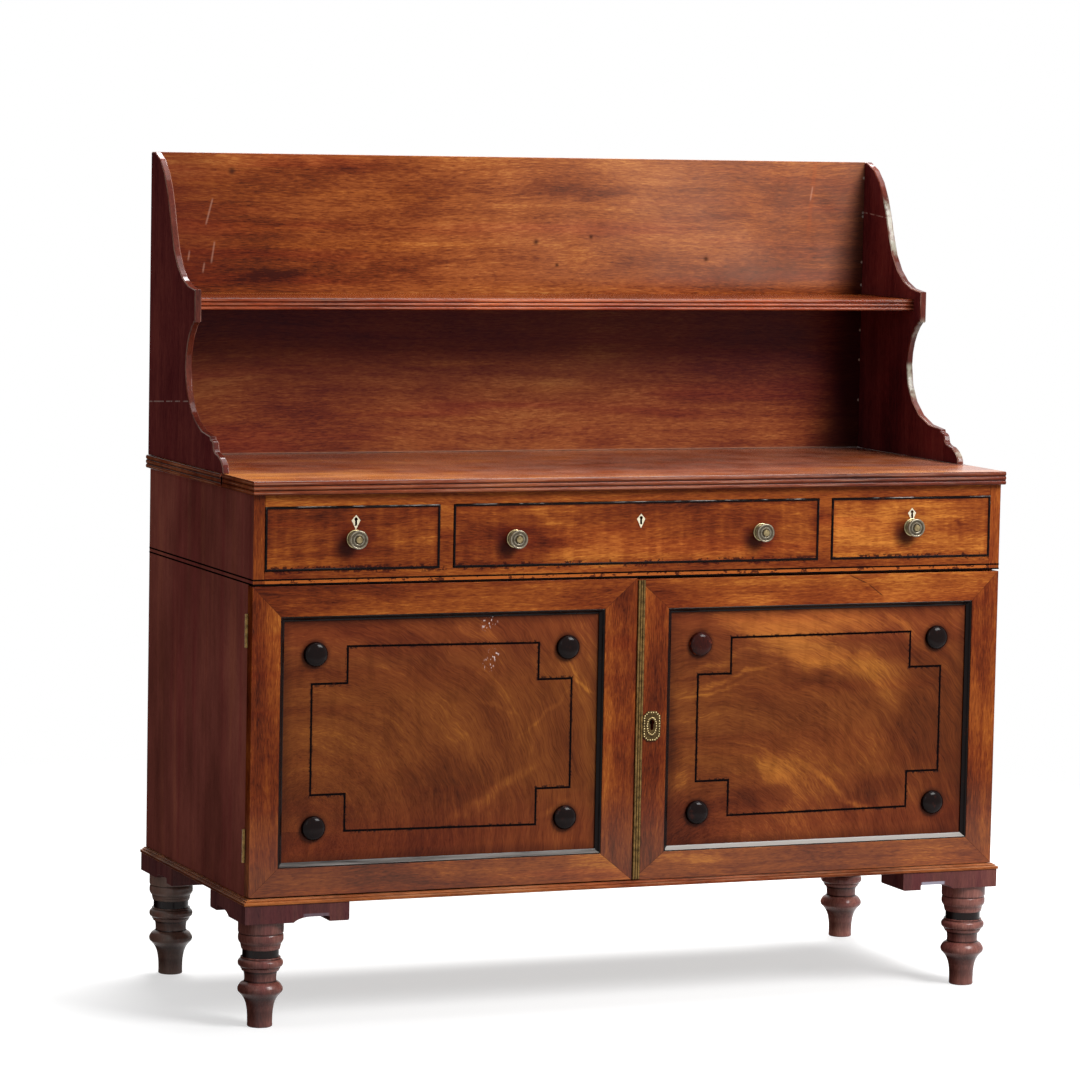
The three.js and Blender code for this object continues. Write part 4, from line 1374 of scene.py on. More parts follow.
@dataclass
class Studio:
    """The camera of the photograph, a pale floor and soft light."""

    eye: Point = (-2.66173, -6.33155, 1.317)
    yaw: float = 0.3899
    pitch: float = -0.0946
    roll: float = 0.0196
    focal_pixels: float = 4602.94
    picture_pixels: float = 1080.0
    sensor: float = 36.0
    floor_radius: float = 14.0
    floor_fade: tuple[float, float] = (1.3, 2.4)
    floor_tones: tuple[float, float] = (0.26, 0.5)
    floor_glow: float = 0.57
    fill: float = 0.26
    lamps: tuple[Lamp, ...] = (
        Lamp("key", (1.6, -2.45, 2.75), (1.5, 1.5), 142.0),
        Lamp("strip", (-2.4, -3.0, 2.2), (0.3, 1.6), 6.0),
        Lamp("top", (1.2, 0.3, 5.0), (3.0, 3.0), 100.0, (0.0, 0.0, 0.5)),
        Lamp("back", (0.8, 2.1, 3.5), (2.2, 1.4), 175.0, (0.0, 0.1, 0.1)),
    )

    def camera(self) -> None:
        """Sets up the camera at the photograph's viewpoint."""
        forward = Vector((
            math.sin(self.yaw) * math.cos(self.pitch),
            math.cos(self.yaw) * math.cos(self.pitch),
            math.sin(self.pitch),
        ))
        right = forward.cross(Vector((0, 0, 1))).normalized()
        up = right.cross(forward)
        c, s = math.cos(self.roll), math.sin(self.roll)
        right, up = right * c + up * s, up * c - right * s
        data = bpy.data.cameras.new("camera")
        data.sensor_width = self.sensor
        data.lens = self.focal_pixels / self.picture_pixels * self.sensor
        data.clip_end = 100
        camera = bpy.data.objects.new("camera", data)
        bpy.context.scene.collection.objects.link(camera)
        turn = Matrix((right, up, -forward)).transposed().to_4x4()
        camera.matrix_world = Matrix.Translation(self.eye) @ turn
        bpy.context.scene.camera = camera

    def floor(self) -> None:
        """Lays a white floor that keeps the shadow and fades into the background."""
        bpy.ops.object.select_all(action="DESELECT")
        bpy.ops.mesh.primitive_circle_add(
            vertices=96, radius=self.floor_radius, fill_type="NGON", location=(0, 0, 0)
        )
        floor = bpy.context.active_object
        floor.name = "floor"
        graph = Graph("floor_white")
        seen = graph.add("ShaderNodeLightPath")
        direct = graph.calc("ADD", seen.outputs["Is Camera Ray"], seen.outputs["Is Glossy Ray"])
        direct = graph.calc("ADD", direct, seen.outputs["Is Transmission Ray"], clamp=True)
        far = graph.span(graph.apart((graph.x, 0.0), (graph.y, 0.0)), *self.floor_fade)
        dark, pale = self.floor_tones
        shade = graph.blend(direct, (dark,) * 3, (pale,) * 3)
        lit = graph.add("ShaderNodeBsdfDiffuse", {}, {"Color": shade})
        strength = graph.times(direct, self.floor_glow)
        glow = graph.add("ShaderNodeEmission", {}, {"Color": (1, 1, 1, 1), "Strength": strength})
        near = graph.add("ShaderNodeAddShader", {}, {0: lit.outputs[0], 1: glow.outputs[0]})
        white = graph.add("ShaderNodeEmission", {}, {"Strength": direct})
        plain = graph.add("ShaderNodeAddShader", {}, {1: white.outputs[0]})
        faded = graph.times(far, direct)
        mixed = graph.add(
            "ShaderNodeMixShader", {}, {0: faded, 1: near.outputs[0], 2: plain.outputs[0]}
        )
        graph.add("ShaderNodeOutputMaterial", {}, {0: mixed.outputs[0]})
        floor.data.materials.append(graph.material)

    def light(self) -> None:
        """Hangs the lamps and sets a world that is white in view and dim as a light."""
        for lamp in self.lamps:
            lamp.hang()
        world = bpy.data.worlds.new("white_room")
        bpy.context.scene.world = world
        world.use_nodes = True
        tree = world.node_tree
        tree.nodes.clear()
        rays = tree.nodes.new("ShaderNodeLightPath")
        first = tree.nodes.new("ShaderNodeMath")
        second = tree.nodes.new("ShaderNodeMath")
        first.operation = second.operation = "MAXIMUM"
        level = tree.nodes.new("ShaderNodeMapRange")
        level.inputs[3].default_value, level.inputs[4].default_value = self.fill, 1.0
        back = tree.nodes.new("ShaderNodeBackground")
        out = tree.nodes.new("ShaderNodeOutputWorld")
        back.inputs[0].default_value = (1, 1, 1, 1)
        for a, b in (
            (rays.outputs["Is Camera Ray"], first.inputs[0]),
            (rays.outputs["Is Glossy Ray"], first.inputs[1]),
            (first.outputs[0], second.inputs[0]),
            (rays.outputs["Is Transmission Ray"], second.inputs[1]),
            (second.outputs[0], level.inputs[0]),
            (level.outputs[0], back.inputs[1]),
            (back.outputs[0], out.inputs[0]),
        ):
            tree.links.new(a, b)

    def build(self) -> None:
        """Makes the whole room."""
        bpy.context.scene.view_settings.view_transform = "Standard"
        self.camera()
        self.floor()
        self.light()
        log.info("studio ready")


# Carcass

CORNERS = ("front_left", "front_right", "back_left", "back_right")


@dataclass
class Carcass:
    """Side panels, face frame, top, base moulding, brackets and the ebony waist strings."""

    ease: float = 0.6 * MM
    string_heights: tuple[float, float] = (634.1 * MM, 640.7 * MM)
    string_width: float = 2.3 * MM
    string_depth: float = 2 * MM
    string_proud: float = 0.15 * MM
    back_board: float = 147.5 * MM
    nail_inset: float = 15 * MM

    def sides(self) -> None:
        """Dresses the two side panels."""
        tones = ((90, 46, 40), (118, 61, 52), (136, 72, 62), (160, 90, 74))
        edge = Mahogany("side_edge_mahogany", Axis.Z, seed=2.0).make()
        for side, seed in (("left", 1.0), ("right", 6.0)):
            wood = Mahogany(
                f"side_{side}_mahogany", Axis.Z, tones, seed, bands=0.7, streaks=0.5, polish=0.0
            ).make()
            node = f"{side}_side_panel"
            piece = eased(node, self.ease)
            fit(piece, "carcass", Slot.DARK_MAHOGANY, wood, node)
            face_finish(piece, edge, lambda face: face.normal.y < -0.5)

    def chips(self, graph: Graph, colour: Socket) -> Socket:
        """Draws the lighter strip between the waist strings, and the chips beside it.

        Args:
            graph: The material's graph.
            colour: The colour so far.

        Returns:
            The colour with the strip and the chips on it.
        """
        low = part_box("left_drawer_front")[0]
        long = graph.cloud((30, 4, 200), 2, 0.5)
        middle = sum(self.string_heights) / 2 + self.string_width / 2
        between = graph.gap(graph.z, middle)
        colour = graph.stain(colour, graph.span(between, 0.0034, 0.0026), 0.75, (186, 100, 42))
        specks = graph.cloud((110, 110, 150), 3, 0.6)
        drawer = graph.span(graph.gap(low.z - 0.001, graph.z), 0.0062, 0.001)
        near = graph.calc("MAXIMUM", drawer, graph.span(between, 0.006, 0.003))
        spread = graph.linear(long, 0.5, graph.times(specks, 0.9))
        mask = graph.times(near, graph.span(spread, 0.76, 0.8))
        return graph.stain(colour, mask, 0.85, (54, 10, 9))

    def front(self) -> None:
        """Dresses the rails and muntins round the drawers."""
        low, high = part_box("left_drawer_front")
        patches = (Patch(high.x / MM + 11, 0, 28, 70, 0, -0.16),)
        wood = Mahogany("rail_mahogany", Axis.X, seed=3.0, clouds=0.7, patches=patches).make(
            self.chips, centre=(0, 0, (low.z + high.z) / 2)
        )
        fit(eased("face_frame", self.ease), "carcass", Slot.MAHOGANY, wood, "face_frame")

    def top(self) -> None:
        """Dresses the reeded top board."""
        low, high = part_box("top_board")
        # The two lighter patches towards the left are a painted reflection, and the pinkish film a
        # painted sheen.
        patches = (Patch(-350, 0, 260, 40, 0, 0.16), Patch(-560, 0, 60, 40, 0, 0.14))
        wood = Mahogany(
            "top_mahogany", Axis.X, seed=11.0, polish=0.24, rough=0.2, patches=patches, painted_sheen=0.1,
            painted_sheen_tone=(214, 170, 152),
        ).make(centre=tuple((low + high) / 2))
        piece = eased("top_board", 0.7 * MM, angle=25, soft=62)
        mark_grooves(piece)
        fit(piece, "carcass", Slot.MAHOGANY, wood, "top_board")
        reed_edges(piece, "top_edge_mahogany", 13.0)

    @staticmethod
    def wear(graph: Graph, colour: Socket) -> Socket:
        """Lays a dusty film and a painted sheen on what faces up on the base moulding, and darkens
        its ends.

        Args:
            graph: The material's graph.
            colour: The colour so far.

        Returns:
            The colour with the dust on it.
        """
        sideways, upward = graph.facing()
        # A dusty film and a painted sheen on what faces up.
        dust_and_sheen = graph.span(graph.cloud((9, 9, 160), 4, 0.6), 0.4, 0.6)
        film = graph.times(graph.span(upward, 0.35, 0.9), dust_and_sheen)
        colour = graph.stain(colour, film, 0.2, (180, 158, 128))
        return graph.stain(colour, graph.span(sideways, 0.5, 0.9), 0.7, (66, 32, 30))

    @staticmethod
    def step(corner: str, graph: Graph, colour: Socket) -> Socket:
        """Draws the light on the step of a bracket, weaker on the left.

        Args:
            corner: The bracket's corner.
            graph: The material's graph.
            colour: The colour so far.

        Returns:
            The colour with the light on it.
        """
        low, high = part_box(f"bracket_{corner}")
        end, strong = (low.x, 0.2) if "left" in corner else (high.x, 0.75)
        away = graph.gap(graph.x, end)
        rise = graph.minus(graph.z, low.z + 0.0077)
        inside = graph.times(graph.span(away, 0.086, 0.09), graph.span(away, 0.128, 0.124))
        line = graph.times(graph.span(rise, -0.0005, 0.0), graph.span(rise, 0.0052, 0.0036))
        return graph.stain(colour, graph.times(inside, line), strong, (172, 170, 186))

    def base(self) -> None:
        """Dresses the base moulding and the four corner brackets."""
        tones = ((74, 28, 14), (128, 66, 32), (168, 96, 52), (196, 124, 66))
        wood = Mahogany("base_mahogany", Axis.X, tones, 17.0, grime_and_shade=1.0).make(self.wear)
        piece = eased("base_moulding", 0.2 * MM, soft=55)
        mark_grooves(piece)
        fit(piece, "carcass", Slot.MAHOGANY, wood, "base_moulding")
        tones = ((58, 34, 38), (84, 48, 48), (104, 60, 58), (134, 82, 72))
        for n, corner in enumerate(CORNERS):
            node = f"bracket_{corner}"
            wood = Mahogany(
                f"{node}_mahogany", Axis.Z, tones, 20.0 + n, clouds=0.7, streaks=0.7
            ).make(partial(self.step, corner))
            fit(eased(node, 0.4 * MM), "carcass", Slot.MAHOGANY, wood, node)

    def strings(self, ebony: Finish) -> None:
        """Lets the two ebony strings into the waist, round the front and both sides.

        Args:
            ebony: The strings' material.
        """
        low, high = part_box("face_frame")[0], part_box("right_side_panel")[1]
        out, inner = self.string_proud, self.string_depth
        front, back, side = low.y - out, high.y, high.x + out
        for n, z in enumerate(self.string_heights):
            outline = [
                (-side, back, z), (-side, front, z), (side, front, z), (side, back, z),
                (side - inner, back, z), (side - inner, front + inner, z),
                (inner - side, front + inner, z), (inner - side, back, z),
            ]
            piece = sawn(f"waist_string_{n + 1}", outline, (0, 0, self.string_width))
            fit(piece, "carcass", Slot.EBONISED, ebony)

    def inside(self) -> None:
        """Dresses the boards behind the doors and under the drawers."""
        low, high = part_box("carcass_back")
        levels = (low.z + self.nail_inset, (low.z + high.z) / 2, high.z - self.nail_inset)
        dress("carcass_back", InnerWood(
            "carcass_back_wood", Axis.Z, (136, 100, 64), 4.0, self.back_board, levels
        ).make())
        for n, node in enumerate(("carcass_bottom", "cupboard_shelf", "dust_board")):
            dress(node, InnerWood(f"{node}_wood", seed=5.0 + n).make())

    def build(self, ebony: Finish) -> None:
        """Makes the carcass.

        Args:
            ebony: The strings' material.
        """
        self.sides()
        self.front()
        self.top()
        self.base()
        self.strings(ebony)
        self.inside()


@dataclass
class Feet:
    """The four turned feet, each with an ebonised band."""

    facets: int = 64
    band: tuple[float, float] = (101.2 * MM, 112.3 * MM)
    profile: tuple[tuple[float, float], ...] = (
        (0, 0), (16.9, 0), (18.1, 1.2), (17.9, 7), (18.1, 15.6), (18.4, 21.5), (18.95, 25.8),
        (19.7, 30.2), (20.3, 33.1), (21.25, 36), (22.5, 39), (24.0, 41.9), (26.1, 44.8),
        (28.7, 47.7), (30.1, 49.2), (31.4, 50.6), (32.0, 52.1), (32.4, 53.8), (32.3, 55.6),
        (31.9, 57.2), (30.7, 59.4), (29.9, 60.8), (28.9, 62.3), (27.3, 63.7), (25.2, 65),
        (23.4, 65.9), (23.1, 66.7), (22.9, 68.1), (22.8, 71), (23.0, 74), (23.3, 76.9),
        (24.2, 79.8), (24.6, 81), (26.6, 81.3), (26.9, 82.7), (28.1, 84.2), (28.5, 85.6),
        (28.2, 86.2), (29.9, 87.1), (31.4, 88.5), (32.1, 90), (32.4, 92.2), (32.2, 94.4),
        (31.6, 95.8), (30.3, 97.3), (28.9, 98.5), (28.3, 99.2), (28.8, 100.2), (28.5, 101.0),
        (26.2, 101.3), (26.2, 112.2), (27.6, 112.5), (28.1, 114.8), (28.6, 116.2),
        (28.2, 116.6), (28.9, 117.7), (28.9, 118.9), (29.6, 120.6), (30.7, 122.1),
        (31.6, 123.5), (32.3, 125), (32.6, 126.4), (32.65, 129.3), (32.5, 132.3),
        (32.1, 133.7), (31.4, 134.6), (31.3, 135.4), (32.0, 136), (32.5, 136.6), (32.7, 138.1),
        (32.8, 139.6), (32.75, 152.7), (0, 152.7),
    )

    def build(self, ebony: Finish) -> None:
        """Turns the four feet.

        Args:
            ebony: The bands' material.
        """
        for n, corner in enumerate(CORNERS):
            node = f"foot_{corner}"
            low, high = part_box(node)
            centre = (low + high) / 2
            piece = turned(
                node + "_turned", self.profile, (centre.x, centre.y, low.z), Axis.Z, self.facets
            )
            # Only the back left foot gets a painted sheen, lightening it where it stands in shade.
            wood = Mahogany(
                f"{node}_mahogany", Axis.Z,
                ((80, 46, 42), (114, 68, 60), (140, 88, 78), (176, 122, 104)), 30.0 + n,
                polish=0.25, rough=0.22, grime_and_shade=0.9, painted_sheen=0.3 if corner == "back_left" else 0.0,
            ).make()
            fit(piece, "carcass", Slot.MAHOGANY, wood, node)
            face_finish(piece, ebony, lambda face: self.band[0] < face.center.z < self.band[1])


# Gallery

GALLERY_PATCHES = (
    Patch(87, 170, 150, 15, 0, -0.2), Patch(-440, 60, 130, 150, 0, -0.1),
    Patch(-60, 110, 240, 34, -4, 0.12), Patch(330, 100, 200, 50, 6, 0.12),
    Patch(-390, 42, 120, 11, 12, -0.14), Patch(0, -150, 330, 60, 0, 0.08),
    Patch(-330, 195, 250, 30, 3, -0.16), Patch(150, 60, 120, 12, 5, -0.08),
    Patch(-330, -170, 180, 50, 0, -0.06), Patch(-180, 60, 120, 8, 8, -0.1),
)
GALLERY_KNOTS = (
    (22.7, 1104.1, 7), (114.4, 1112.5, 5.5), (310.4, 1079.5, 7), (58.4, 1068.9, 5),
    (-471.1, 1206.9, 9),
)
GALLERY_SPECKS = (1209, 1154, 1148, 1076, 1040, 968, 921, 857)
GALLERY_MARKS = (
    (-500.4, 1167.8, -511.6, 1124.4), (-496.7, 1103.6, -502.2, 1066.9),
    (-535.8, 1089.9, -538.5, 1070.5), (-512.2, 1072.1, -515.2, 1052.7),
    (492.4, 1197.0, 488.0, 1170.0),
)


def scratch(graph: Graph, colour: Socket, start: tuple[float, float],
            end: tuple[float, float], tone: Colour = (206, 158, 134), wide: float = 2.1,
            strong: float = 0.3) -> Socket:
    """Draws a fine scratch on a board that faces the front.

    Args:
        graph: The material's graph.
        colour: The colour so far.
        start: One end, x and z in millimetres.
        end: The other end.
        tone: Its colour as a picture shows it.
        wide: How wide it is, in millimetres.
        strong: How strongly it shows, 0 to 1.

    Returns:
        The colour with the scratch on it.
    """
    (x0, z0), (x1, z1) = ((a * MM, b * MM) for a, b in (start, end))
    length = math.hypot(x1 - x0, z1 - z0)
    ux, uz = (x1 - x0) / length, (z1 - z0) / length
    dx, dz = graph.minus(graph.x, x0), graph.minus(graph.z, z0)
    along = graph.linear(dx, ux, graph.times(dz, uz))
    across = graph.linear(dx, -uz, graph.times(dz, ux))
    line = graph.span(graph.calc("ABSOLUTE", across), wide * MM, wide * 0.2 * MM)
    inside = graph.times(graph.span(along, 0.0, 0.006), graph.span(along, length, length - 0.006))
    return graph.stain(colour, graph.times(line, inside), strong, tone)


@dataclass
class Gallery:
    """The raised gallery: back board, shelf and two scrolled ends.

    Args:
        tones: The tones of the ends' front edges.
        worn: The pale stretches of painted reflection on the right end's edge, each its levels and
            strength.
        cracks: For each end a crack's level at the middle, and its slope.
    """

    tones: tuple[Colour, ...] = ((52, 18, 14), (80, 32, 24), (100, 44, 32), (126, 62, 44))
    worn: tuple[tuple[float, float, float], ...] = (
        (1.09, 1.18, 0.6), (0.874, 0.921, 0.55), (0.784, 0.802, 0.5), (0.968, 0.993, 0.35),
    )
    cracks: tuple[tuple[float, float], ...] = ((0.8785, -0.0671), (1.1365, 0.0759))

    def painted_edge_highlights(self, node: str, graph: Graph, colour: Socket) -> Socket:
        """Paints highlights along the arrises of an end's front edge, and pale reflections on
        stretches of the right end's edge.

        Args:
            node: The end's CAD node.
            graph: The material's graph.
            colour: The colour so far.

        Returns:
            The colour with the painted highlights and reflections on it.
        """
        low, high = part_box(node)
        cloud = graph.span(graph.cloud((50, 50, 30), 4, 0.65), 0.4, 0.62)
        long = graph.span(graph.cloud((50, 9, 14), 3, 0.6), 0.42, 0.6)
        side = graph.calc("MINIMUM", graph.minus(graph.x, low.x), graph.minus(high.x, graph.x))
        # Painted highlights along both arrises.
        arris_highlight = graph.times(graph.span(side, 0.0017, 0.0008), long)
        colour = graph.stain(colour, arris_highlight, 0.28, (206, 168, 150))
        if low.x < 0:
            return colour
        # Pale stretches of painted reflection along the right end's edge.
        for bottom, top, strong in self.worn:
            starts = graph.span(graph.z, bottom - 0.008, bottom + 0.004)
            ends = graph.span(graph.z, top + 0.008, top - 0.004)
            mask = graph.times(graph.times(starts, ends), cloud)
            mask = graph.times(mask, graph.span(graph.y, high.y, high.y - 0.01))
            colour = graph.stain(colour, mask, strong, (180, 184, 166))
        return colour

    @staticmethod
    def crack(rise: float, slope: float, graph: Graph, colour: Socket) -> Socket:
        """Draws the pale crack across a scrolled end.

        Args:
            rise: Its level at the middle of the piece.
            slope: How fast it climbs towards the back.
            graph: The material's graph.
            colour: The colour so far.

        Returns:
            The colour with the crack on it.
        """
        away = graph.gap(graph.z, graph.linear(graph.y, slope, rise))
        worn = graph.span(graph.cloud(90), 0.38, 0.5)
        line = graph.times(graph.span(away, 0.0014, 0.0004), worn)
        return graph.stain(colour, line, 0.6, (190, 160, 150))

    @staticmethod
    def shade_sheen_and_marks(graph: Graph, plain: Socket) -> Socket:
        """Paints shade under the shelf, a sheen and the right end's shadow on the front of the back
        board, and ages it with specks, knots and scratches.

        Args:
            graph: The material's graph.
            plain: The plain wood's colour.

        Returns:
            The shaded and aged colour, and on the rear a darker one.
        """
        low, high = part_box("gallery_back")
        shelf_low, shelf_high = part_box("gallery_shelf")
        # Painted shade under the shelf, deepest right under it and near the right end.
        lower = graph.span(graph.z, shelf_low.z + 0.002, shelf_low.z - 0.008)
        sink = graph.span(graph.z, shelf_low.z - 0.19, shelf_low.z)
        right = graph.times(graph.span(graph.x, high.x - 0.09, high.x - 0.02), 0.6)
        shade = graph.calc("MAXIMUM", graph.linear(sink, 0.35, 0.3), right)
        colour = graph.stain(plain, lower, shade, (72, 22, 42))
        seam = graph.span(graph.z, low.z + 0.0022, low.z + 0.0006)
        colour = graph.stain(colour, seam, 0.45, (190, 150, 124))
        left = graph.span(graph.x, low.x + 0.13, low.x + 0.02)
        above = graph.span(graph.z, shelf_high.z, shelf_high.z + 0.03)
        colour = graph.stain(colour, graph.times(left, above), 0.45, (92, 30, 20))
        # A pale painted sheen across the upper board, stronger to the right.
        film = graph.times(graph.span(graph.x, -0.25, 0.45), above)
        cloud = graph.times(graph.cloud(6, 4, 0.6), 0.3)
        colour = graph.stain(colour, film, cloud, (196, 160, 140))
        smear = graph.apart((graph.linear(graph.z, -0.09, graph.x), 0.4905 - 0.09 * 1.17))
        smear = graph.times(graph.span(smear, 0.006, 0.001), above)
        smear = graph.times(smear, graph.span(graph.z, 1.1, 1.14))
        colour = graph.stain(colour, smear, 0.2, (180, 90, 46))
        # The right end's painted shadow, a diagonal dark band at the right.
        lean = graph.linear(graph.z, -0.16, graph.x)
        corner = graph.span(lean, high.x - 0.232, high.x - 0.166)
        colour = graph.stain(colour, corner, 0.76, (34, 9, 11))
        for z in GALLERY_SPECKS:
            spot = graph.apart((graph.x, high.x - 0.0012), (graph.z, z * MM))
            colour = graph.stain(colour, graph.span(spot, 0.0028, 0.001), 0.7, (206, 196, 186))
        for x, z, radius in GALLERY_KNOTS:
            spot = graph.apart((graph.x, x * MM), (graph.z, z * MM))
            colour = graph.stain(colour, graph.span(spot, radius * MM, 0.0), 0.85, (44, 16, 12))
        for x0, z0, x1, z1 in GALLERY_MARKS:
            colour = scratch(graph, colour, (x0, z0), (x1, z1))
        rear = graph.blend(0.6, plain, srgb(74, 34, 22))
        front = graph.calc("LESS_THAN", graph.y, (low.y + high.y) / 2)
        return graph.blend(front, rear, colour)

    def back(self) -> None:
        """Dresses the back board."""
        low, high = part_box("gallery_back")
        tones = ((62, 22, 10), (116, 52, 21), (156, 84, 38), (206, 136, 70))
        wood = Mahogany(
            "gallery_back_mahogany", Axis.X, tones, 41.0, clouds=0.7, bands=0.85, streaks=1.1,
            patches=GALLERY_PATCHES, red=0.7,
        ).make(self.shade_sheen_and_marks, centre=tuple((low + high) / 2))
        fit(eased("gallery_back", 0.8 * MM), "carcass", Slot.MAHOGANY, wood, "gallery_back")

    def shelf(self) -> None:
        """Dresses the reeded shelf."""
        wood = Mahogany("gallery_shelf_mahogany", seed=44.0, polish=0.2, rough=0.2).make()
        piece = eased("gallery_shelf", 0.6 * MM, angle=25, soft=62)
        mark_grooves(piece)
        fit(piece, "carcass", Slot.MAHOGANY, wood, "gallery_shelf")
        reed_edges(piece, "gallery_shelf_edge_mahogany", 15.0, 1.3)

    def ends(self) -> None:
        """Dresses the two scrolled ends, their edges apart from their faces."""
        tones = ((62, 24, 28), (88, 34, 36), (110, 48, 46), (134, 64, 56))
        for side, seed, crack in zip(("left", "right"), (47.0, 49.0), self.cracks):
            node = f"gallery_{side}_end"
            edge = Mahogany(
                f"{node}_edge_mahogany", Axis.Z, self.tones, 46.0, polish=0.18, rough=0.08
            ).make(partial(self.painted_edge_highlights, node))
            wood = Mahogany(
                f"{node}_mahogany", Axis.Z, tones, seed, bands=0.8, polish=0.03, red=0.3
            ).make(partial(self.crack, *crack))
            piece = eased(node, 0.7 * MM, 3, angle=34, soft=48)
            fit(piece, "carcass", Slot.DARK_MAHOGANY, wood, node)
            face_finish(piece, edge, lambda face: abs(face.normal.x) < 0.9)

    def build(self) -> None:
        """Makes the gallery."""
        self.back()
        self.shelf()
        self.ends()


# Doors

LEFT_PATCHES = (
    Patch(11, -63, 110, 48, 8, -0.18), Patch(140, 140, 62, 52, 0, -0.1),
    Patch(85, -80, 100, 12, 30, 0.16), Patch(-164, 31, 70, 120, 0, 0.06),
    Patch(0, 150, 260, 16, 0, 0.08), Patch(218, 80, 36, 5, -40, 0.2),
    Patch(82, 49, 50, 4, -18, 0.1), Patch(165, 30, 70, 4, 42, 0.1),
    Patch(170, -110, 50, 6, 34, 0.1), Patch(200, -20, 40, 110, 0, -0.1),
)
RIGHT_PATCHES = (
    Patch(0, 156, 260, 34, -3, 0.34), Patch(-20, 112, 150, 30, -16, 0.34),
    Patch(104, 66, 66, 40, -42, 0.26), Patch(-66, 9, 150, 66, 8, -0.16),
    Patch(-30, 70, 90, 16, -14, -0.18), Patch(-62, -76, 66, 10, -42, 0.16),
    Patch(45, -104, 76, 8, -32, 0.28), Patch(-105, -104, 80, 26, 6, -0.26),
    Patch(-170, 92, 90, 7, 22, 0.2), Patch(-150, 72, 100, 5, 20, 0.2),
    Patch(-176, 54, 80, 4, 16, 0.18), Patch(150, -20, 60, 90, 0, -0.08),
    Patch(85, -100, 80, 34, 12, -0.2), Patch(-228, -70, 26, 16, 0, 0.2),
    Patch(-238, -10, 22, 60, 0, -0.26), Patch(190, 20, 50, 90, 0, 0.02),
    Patch(-215, -140, 60, 40, 0, -0.12),
)
# The first patch darkens the left door's hinge stile: painted shade.
LEFT_FRAME_PATCHES = (
    Patch(-275, 0, 50, 420, 0, -0.24), Patch(0, 201, 300, 60, 0, 0.03),
    Patch(273, -60, 60, 200, 0, 0.03),
)
# The first patch lightens the right door's top rail: painted light from the upper right.
RIGHT_FRAME_PATCHES = (
    Patch(40, 201, 320, 60, 0, 0.13), Patch(-273, 0, 62, 260, 0, -0.06),
    Patch(270, 60, 60, 200, 0, -0.07), Patch(0, -205, 340, 40, 0, -0.12),
)
LEFT_STRING = (
    (-198.4, 81.9), (-144.7, 81.9), (-144.7, 134.6), (148.5, 131.9), (148.5, 78.7),
    (200.7, 78.7), (200.7, -80.6), (147.9, -80.6), (147.9, -133.0), (-146.2, -130.2),
    (-146.2, -77.0), (-198.4, -77.0),
)
RIGHT_STRING = (
    (-196.0, 79.6), (-143.1, 79.6), (-143.1, 132.7), (150.3, 134.2), (150.3, 81.2),
    (201.8, 81.2), (201.8, -76.2), (149.5, -76.2), (149.5, -129.3), (-143.5, -131.2),
    (-143.5, -78.6), (-196.0, -78.6),
)


